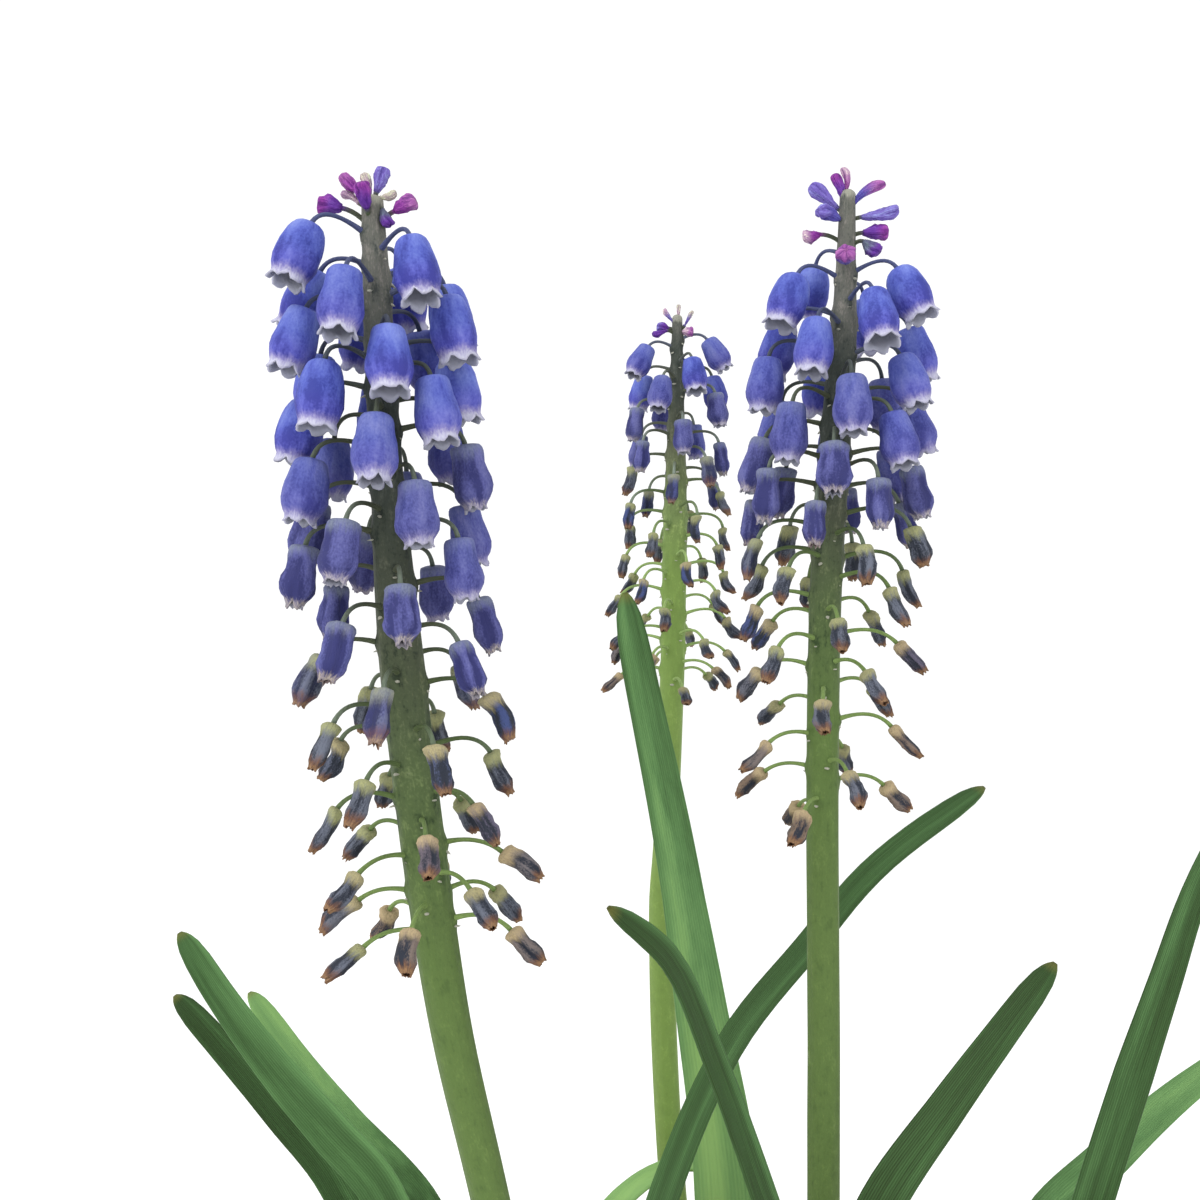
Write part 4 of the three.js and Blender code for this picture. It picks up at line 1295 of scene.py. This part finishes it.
        stalk = come.ramp((0.12, look.blue), (0.24, look.moss), (0.38, look.moss),
                          (0.48, look.green), (0.58, look.lime))
        stalk = (fine * 2.2 + 0.2).step(0.0, 1.0).mix(stalk, stalk.scaled(1.8, 1.7, 1.6))
        paler = (come.step(0.2, 0.32) - come.step(0.42, 0.54)) * swell.step(0.3, 1.0) * (0.6 + fine)
        stalk = paler.mix(stalk, look.end)
        stalk = light.mix(stalk, stalk.scaled(1.5, 1.45, 1.6))
        body = kind.step(0.4, 0.6).mix(stem, stalk)
        tint = kind.step(1.4, 1.6).mix(body, look.scale)
        coat(start, tint, 0.55 + fine * 0.2, streak + blot * 0.8 + fine * 0.6, 0.00008)
        return paint


class HYACINTH_OT_florets(bpy.types.Operator):
    """Hangs the florets, from fresh bells at the top to withered tubes"""

    bl_idname = "hyacinth.florets"
    bl_label = "Florets"

    def execute(self, context):
        look = context.scene.hyacinth.floret
        paint = self.paint(look)
        for name in RACEMES:
            scape = Scape(name)
            florets = scape.florets()
            form = Form("around", "state", "luck")
            for floret, cell in zip(florets, cells(len(florets))):
                self.floret(form, look, scape, floret, cell)
            form.finished(f"florets_{name}", paint, "raceme_blue", f"raceme_{name}")
        return {"FINISHED"}

    def floret(self, form, look, scape, floret, cell):
        fresh = floret.age < 0.5
        sides = look.lobes * (6 if fresh and scape.facts["size"] == 1 else 4)
        shape = self.shape(look, scape, floret)
        form.rod(sides, len(OUTLINE) - 1 + len(THROAT), shape, cell)

    def shape(self, look, scape, floret):
        lots = floret.lots
        age, long, wide = floret.age, floret.length, floret.radius
        long *= lots.uniform(0.96, 1.06) if age > 0.2 else lots.uniform(0.98, 1.03)
        wall = mm(look.wall) * scape.facts["size"] * lerp(1, 0.6, age)
        lobed = 1 - ease(0.2, 0.5, age)
        torn, ragged = ease(0.5, 0.8, age), ease(0.25, 0.55, age)
        creased = ease(0.15, 0.6, age)
        chance, phase = lots.random(), lots.uniform(0, math.tau)
        folds = [(lots.choice((2, 3, 4)), lots.uniform(0, math.tau), lots.uniform(-2, 2),
                  lots.uniform(0.4, 1)) for _ in range(3)]
        bow = lots.uniform(-1, 1) * 0.34 * torn, lots.uniform(-1, 1) * 0.34 * torn
        hook = lots.uniform(-1, 1) * 0.4 * torn, lots.uniform(-1, 1) * 0.4 * torn
        squash = 1 - lots.uniform(0.0, 0.28) * creased
        first = floret.side
        second = floret.down.cross(first)
        pinch = lots.uniform(-0.06, 0.1) * creased
        square = lots.uniform(0, 0.4) * (1 - torn)
        outline = [(at, stepped(list(zip(AGES, widths)), age + square * (at < 0.6)))
                   for at, *widths in OUTLINE]

        def place(angle, row, on_skin):
            inside = row >= len(OUTLINE)
            along = lerp(THROAT[row - len(OUTLINE)], 1, 0.75 * torn) if inside else OUTLINE[row][0]
            radius = wide * stepped(outline, along)
            ring = (angle + phase) * look.lobes
            lobe = abs(math.sin(ring / 2)) ** 0.7
            near = ease(0.86, 1, along)
            radius *= 1 + lobed * (look.flare * lobe * near ** 2
                                   + 0.014 * math.cos(ring) * ease(0.05, 0.4, along))
            fold = 0
            for count, start, twist, depth in folds:
                valley = (0.5 + 0.5 * math.cos(count * angle + start + twist * along)) ** 5
                fold += depth * valley
            fold *= creased * ease(0.08, 0.3, along) * (1 - 0.6 * ease(0.85, 1, along))
            radius *= 1 - 0.2 * fold - pinch * math.exp(-((along - 0.33) / 0.1) ** 2)
            rough = noise.noise(on_circle(angle, 1.3, 5 * along + 60 * chance))
            crumple = noise.noise(on_circle(angle, 3.4, 13 * along + 90 * chance))
            radius *= 1 + (0.05 + 0.14 * creased) * rough + (0.02 + 0.1 * torn) * crumple
            tear = noise.noise(on_circle(angle, 3.2, 9 * chance))
            reach = along + lobed * (look.lip * (lobe - 0.6) + 0.04 * tear) * near
            reach += ragged * (1 - 0.5 * torn) * (0.14 * tear + 0.05 * (lobe - 0.5)) * near
            radius *= 1 + ragged * 0.45 * tear * ease(0.8, 1, along)
            if inside:
                radius = max(radius - wall, 0.25 * radius)
            belly, bend = math.sin(math.pi * along), along ** 3
            x = on_skin * radius * math.cos(angle) + bow[0] * belly + hook[0] * bend
            y = on_skin * radius * math.sin(angle) * squash + bow[1] * belly + hook[1] * bend
            spot = floret.top + floret.down * long * reach + first * x + second * y
            return (spot, on_circle(angle, 1, along), (age, floret.along, float(inside)),
                    (chance, min(fold, 1), lobe))
        return place

    def paint(self, look):
        paint, start = new_paint("floret_paint")
        around, state, luck = (stored(start, name) for name in ("around", "state", "luck"))
        along = around.part(2)
        age, late, inside = (state.part(i) for i in range(3))
        chance, fold, lobe = (luck.part(i) for i in range(3))
        grain = Grain(around.moved(chance * 40), (1.2, 1.2, 1.7), (3.2, 3.2, 1.6), (9, 9, 24))
        cloud, streak, fine = grain.cloud, grain.streak, grain.fine

        body = (age + cloud * 0.2).step(0.06, 0.38).mix(
            self.fresh(look, grain, along, chance, lobe),
            self.ageing(look, grain, along, age, fold))
        withered = self.withered(look, grain, along, late, chance, fold)
        body = (age + cloud * 0.25).step(0.56, 0.8).mix(body, withered)
        end = along + streak * 0.16 + cloud * 0.14 + fine * 0.08
        torn = end.step(0.86, 0.98) * age.step(0.2, 0.4)
        lips = age.step(0.55, 0.75).mix(look.lips, look.straw)
        body = (torn * (0.65 + fine * 2)).mix(body, lips)

        young = 1 - age.step(0.1, 0.55)
        edge = along + cloud * 0.16 + streak * 0.08 + fine * 0.1 + (lobe - 0.5) * 0.04
        edge = edge - age * 0.1 - chance * 0.03
        body = (edge.step(0.77, 0.92) * young * 0.8).mix(body, look.haze)
        white = edge.step(0.85, 0.97) * (young * 0.85 + fine * 0.6)
        body = white.mix(body, look.white)
        # Painted light: the pale inside is lightened to stand in for light inside the bell;
        # withered ones take the gape's own brown.
        throat = age.step(0.45, 0.7).mix(look.throat, look.gape)
        tint = inside.mix(body, throat)
        relief = cloud * (0.5 + age * 1.2) + streak * age * 1.2 + fine * 0.4
        coat(start, tint, 0.58 + fine * 0.2 + age * 0.1, relief, 0.00011)
        return paint

    def fresh(self, look, grain, along, chance, lobe):
        # Painted highlight: the shoulders are lighter, as if lit from above, over the bells' own
        # bloom.
        shoulders = 1 - along.step(0.0, 0.6)
        light = shoulders * 0.36 + grain.cloud * 1.9 + grain.streak * 0.15 + grain.fine * 0.6
        # Painted highlight and shade of the ribs: lighter in the middle of each lobe, darker at its
        # notches.
        light = light + (lobe - 0.6) * 0.14 + 0.38 - chance * 0.34
        body = light.ramp((0.0, look.deep), (0.3, look.blue), (0.6, look.light), (1.0, look.bloom))
        return (along.step(0.4, 0.8) * 0.5).mix(body, body.scaled(1.3, 0.85, 1.0))

    def ageing(self, look, grain, along, age, fold):
        # Painted shade in the creases: the folds turn darker, as if in shadow.
        light = grain.cloud * 1.8 + grain.streak * 0.9 + grain.fine * 1.0 + 0.55 - fold * 1.1
        body = light.ramp((0.0, look.plum_and_fold_shade), (0.5, look.violet), (1.0, look.lilac))
        capped = 1 - (along + grain.streak * 0.35 + grain.cloud * 0.4).step(0.0, 0.3)
        capped = capped * (0.65 + grain.fine) * age.step(0.15, 0.4)
        return capped.mix(body, look.cap)

    def withered(self, look, grain, along, late, chance, fold):
        cloud, streak = grain.cloud, grain.streak
        bluish = (1 - (chance - 0.78).step(-0.04, 0.04)).mix(look.dusk, look.slate)
        bleached = (late + chance * 0.5).step(1.1, 1.4).mix(bluish, look.fawn)
        # Painted shade in the creases: the folds turn darker, as if in shadow.
        light = cloud * 1.9 + streak * 0.9 + grain.fine * 1.3 + 0.6 - fold * 0.6
        body = light.step(0.0, 0.8).mix(look.ink_and_fold_shade, bleached)
        browned = (along + streak * 0.2 + cloud * 0.55 - chance * 0.12).step(0.66, 0.88)
        body = (browned * (0.8 + grain.fine * 1.5)).mix(body, look.rust)
        dry = (late + (chance - 0.5) * 0.6).step(0.65, 1.05)
        top = dry.mix(look.olive, look.tan)
        capped = 1 - (along + streak * 0.2 + cloud * 0.45).step(0.1, 0.4)
        return (capped * (0.9 + grain.fine)).mix(body, top)


class HYACINTH_OT_clubs(bpy.types.Operator):
    """Sets the sterile clubs on the stems' ends"""

    bl_idname = "hyacinth.clubs"
    bl_label = "Clubs"

    # The share of a club's length and of its half width, for a slim and a stout one.
    OUTLINE = [(0, 0.3, 0.34), (0.1, 0.4, 0.5), (0.22, 0.5, 0.66), (0.36, 0.62, 0.8),
               (0.5, 0.78, 0.9), (0.64, 0.93, 0.98), (0.76, 1, 1), (0.86, 0.96, 0.95),
               (0.94, 0.82, 0.82), (0.985, 0.58, 0.58), (1, 0.3, 0.3)]
    SHORTER = 0.97  # so that the lumps stay within the solid's height

    def execute(self, context):
        look = context.scene.hyacinth.club
        paint = self.paint()
        for name in RACEMES:
            scape = Scape(name)
            clubs = scape.facts["clubs"]
            form = Form("around", "tint", "luck")
            spots = list(cells(2 * len(clubs)))
            for index, club in enumerate(clubs):
                self.club(form, look, scape, index, club, spots[2 * index:2 * index + 2])
            form.finished(f"clubs_{name}", paint, "raceme_blue", f"raceme_{name}")
        return {"FINISHED"}

    def club(self, form, look, scape, index, club, spots):
        turn, rise, reach, drop, tilt, long, wide, near, far = club
        out = outward(turn)
        side = out.cross(UP).normalized()
        heading = out * math.sin(math.radians(tilt)) + UP * math.cos(math.radians(tilt))
        start = scape.at(scape.high + rise) + out * reach
        long *= self.SHORTER
        leaves = scape.high + rise - drop
        root = scape.at(leaves) + out * 0.3 * scape.radius(leaves)
        olive, base, end = (
            Vector(linear(getattr(look, tint))[:3]) for tint in ("olive", near, far))
        thick, stalk_rows, last = mm(look.stalk), 6, len(self.OUTLINE) - 1
        stalk = bent(arch(root, start + heading * 0.1, heading), lambda s: thick, side)

        def on_stalk(angle, row, on_skin):
            part = row / stalk_rows
            tint = olive.lerp(base, ease(0.75, 1, part))
            return stalk(angle, part, on_skin), on_circle(angle, 1, part), tint, (0, 0, 0)

        lots = random.Random(f"{scape.name}{index}")
        chance, slim = lots.random(), ease(0.35, 0.62, wide / long)
        second = heading.cross(side)
        bow = lots.uniform(-0.12, 0.12) * long
        count, phase = lots.choice((3, 5, 6)), lots.uniform(0, math.tau)

        def on_club(angle, row, on_skin):
            along, thin, stout = self.OUTLINE[row]
            radius = wide / 2 * lerp(thin, stout, slim)
            fold = (0.5 + 0.5 * math.cos(count * angle + phase + 1.5 * along)) ** 3
            fold *= ease(0.2, 0.8, along)
            lumps = noise.noise(on_circle(angle, 1.4, 3 * along + 50 * chance))
            crumple = noise.noise(on_circle(angle, 3.2, 7 * along + 80 * chance))
            radius *= 1 - 0.2 * fold + 0.34 * lumps + 0.3 * crumple * (1 - along ** 4)
            x, y = on_skin * radius * math.cos(angle), on_skin * radius * math.sin(angle)
            dip = 0.05 * (1 - on_skin) * (row == last)
            spot = start + heading * long * (along - dip) + side * x
            spot += second * (y + bow * math.sin(math.pi * along))
            tint = base.lerp(end, ease(0.35, 0.85, along + 0.2 * lumps))
            return spot, on_circle(angle, 1, along), tint, (chance, fold, 0)

        form.rod(8, stalk_rows, on_stalk, spots[0])
        form.rod(24, last, on_club, spots[1])

    def paint(self):
        paint, start = new_paint("club_paint")
        around, tint, luck = (stored(start, name) for name in ("around", "tint", "luck"))
        chance, fold = luck.part(0), luck.part(1)
        grain = Grain(around.moved(chance * 30), (1.6, 1.6, 2.2), (3.4, 3.4, 1.2), (9, 9, 12))
        # Painted highlights: a much lighter copy of the tint in patches over the crinkles.
        light = grain.cloud * 1.6 + grain.streak * 0.9 + grain.fine * 1.0
        body = light.step(-0.05, 0.55).mix(tint, tint.scaled(1.8, 2.6, 1.55))
        # Painted shade: a darker copy of the tint in the folds and away from the painted
        # highlights.
        dark = (fold * 0.5 - light * 1.1).step(0.0, 0.7)
        body = (dark * 0.8).mix(body, tint.scaled(0.4, 0.35, 0.55))
        coat(start, body, 0.5 + grain.fine * 0.15, grain.cloud + grain.streak, 0.00014)
        return paint


# ---- The add-on ----


class HyacinthSettings(bpy.types.PropertyGroup):
    """All sizes and colours."""

    stage: PointerProperty(type=StageSettings)
    pot: PointerProperty(type=PotSettings)
    soil: PointerProperty(type=SoilSettings)
    bulb: PointerProperty(type=BulbSettings)
    leaf: PointerProperty(type=LeafSettings)
    scape: PointerProperty(type=ScapeSettings)
    floret: PointerProperty(type=FloretSettings)
    club: PointerProperty(type=ClubSettings)


PARTS = {
    "stage": ("stage", StageSettings), "pot": ("pot", PotSettings), "soil": ("soil", SoilSettings),
    "bulbs": ("bulb", BulbSettings), "leaves": ("leaf", LeafSettings),
    "scapes": ("scape", ScapeSettings), "florets": ("floret", FloretSettings),
    "clubs": ("club", ClubSettings),
}


class HYACINTH_PT_panel(bpy.types.Panel):
    """Lists the pieces with their settings"""

    bl_label = "Grape Hyacinth"
    bl_idname = "HYACINTH_PT_panel"
    bl_space_type = "VIEW_3D"
    bl_region_type = "UI"
    bl_category = "Hyacinth"

    def draw(self, context):
        for operator, (group, kind) in PARTS.items():
            box = self.layout.box()
            box.operator(f"hyacinth.{operator}")
            for name in kind.__annotations__:
                box.prop(getattr(context.scene.hyacinth, group), name)


CLASSES = [
    StageSettings, PotSettings, SoilSettings, BulbSettings, LeafSettings, ScapeSettings,
    FloretSettings, ClubSettings, HyacinthSettings, HYACINTH_OT_stage, HYACINTH_OT_pot,
    HYACINTH_OT_soil, HYACINTH_OT_bulbs, HYACINTH_OT_leaves, HYACINTH_OT_scapes,
    HYACINTH_OT_florets, HYACINTH_OT_clubs, HYACINTH_PT_panel,
]


def register():
    for kind in CLASSES:
        bpy.utils.register_class(kind)
    bpy.types.Scene.hyacinth = PointerProperty(type=HyacinthSettings)


def unregister():
    del bpy.types.Scene.hyacinth
    for kind in reversed(CLASSES):
        bpy.utils.unregister_class(kind)


def main():
    register()
    for name in PARTS:
        getattr(bpy.ops.hyacinth, name)()
    for mesh in RODS.values():
        bpy.data.meshes.remove(mesh)
    boxes = [[list(corner) for corner in box] for box in (CAD_BOX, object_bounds())]


if __name__ == "__main__":
    main()
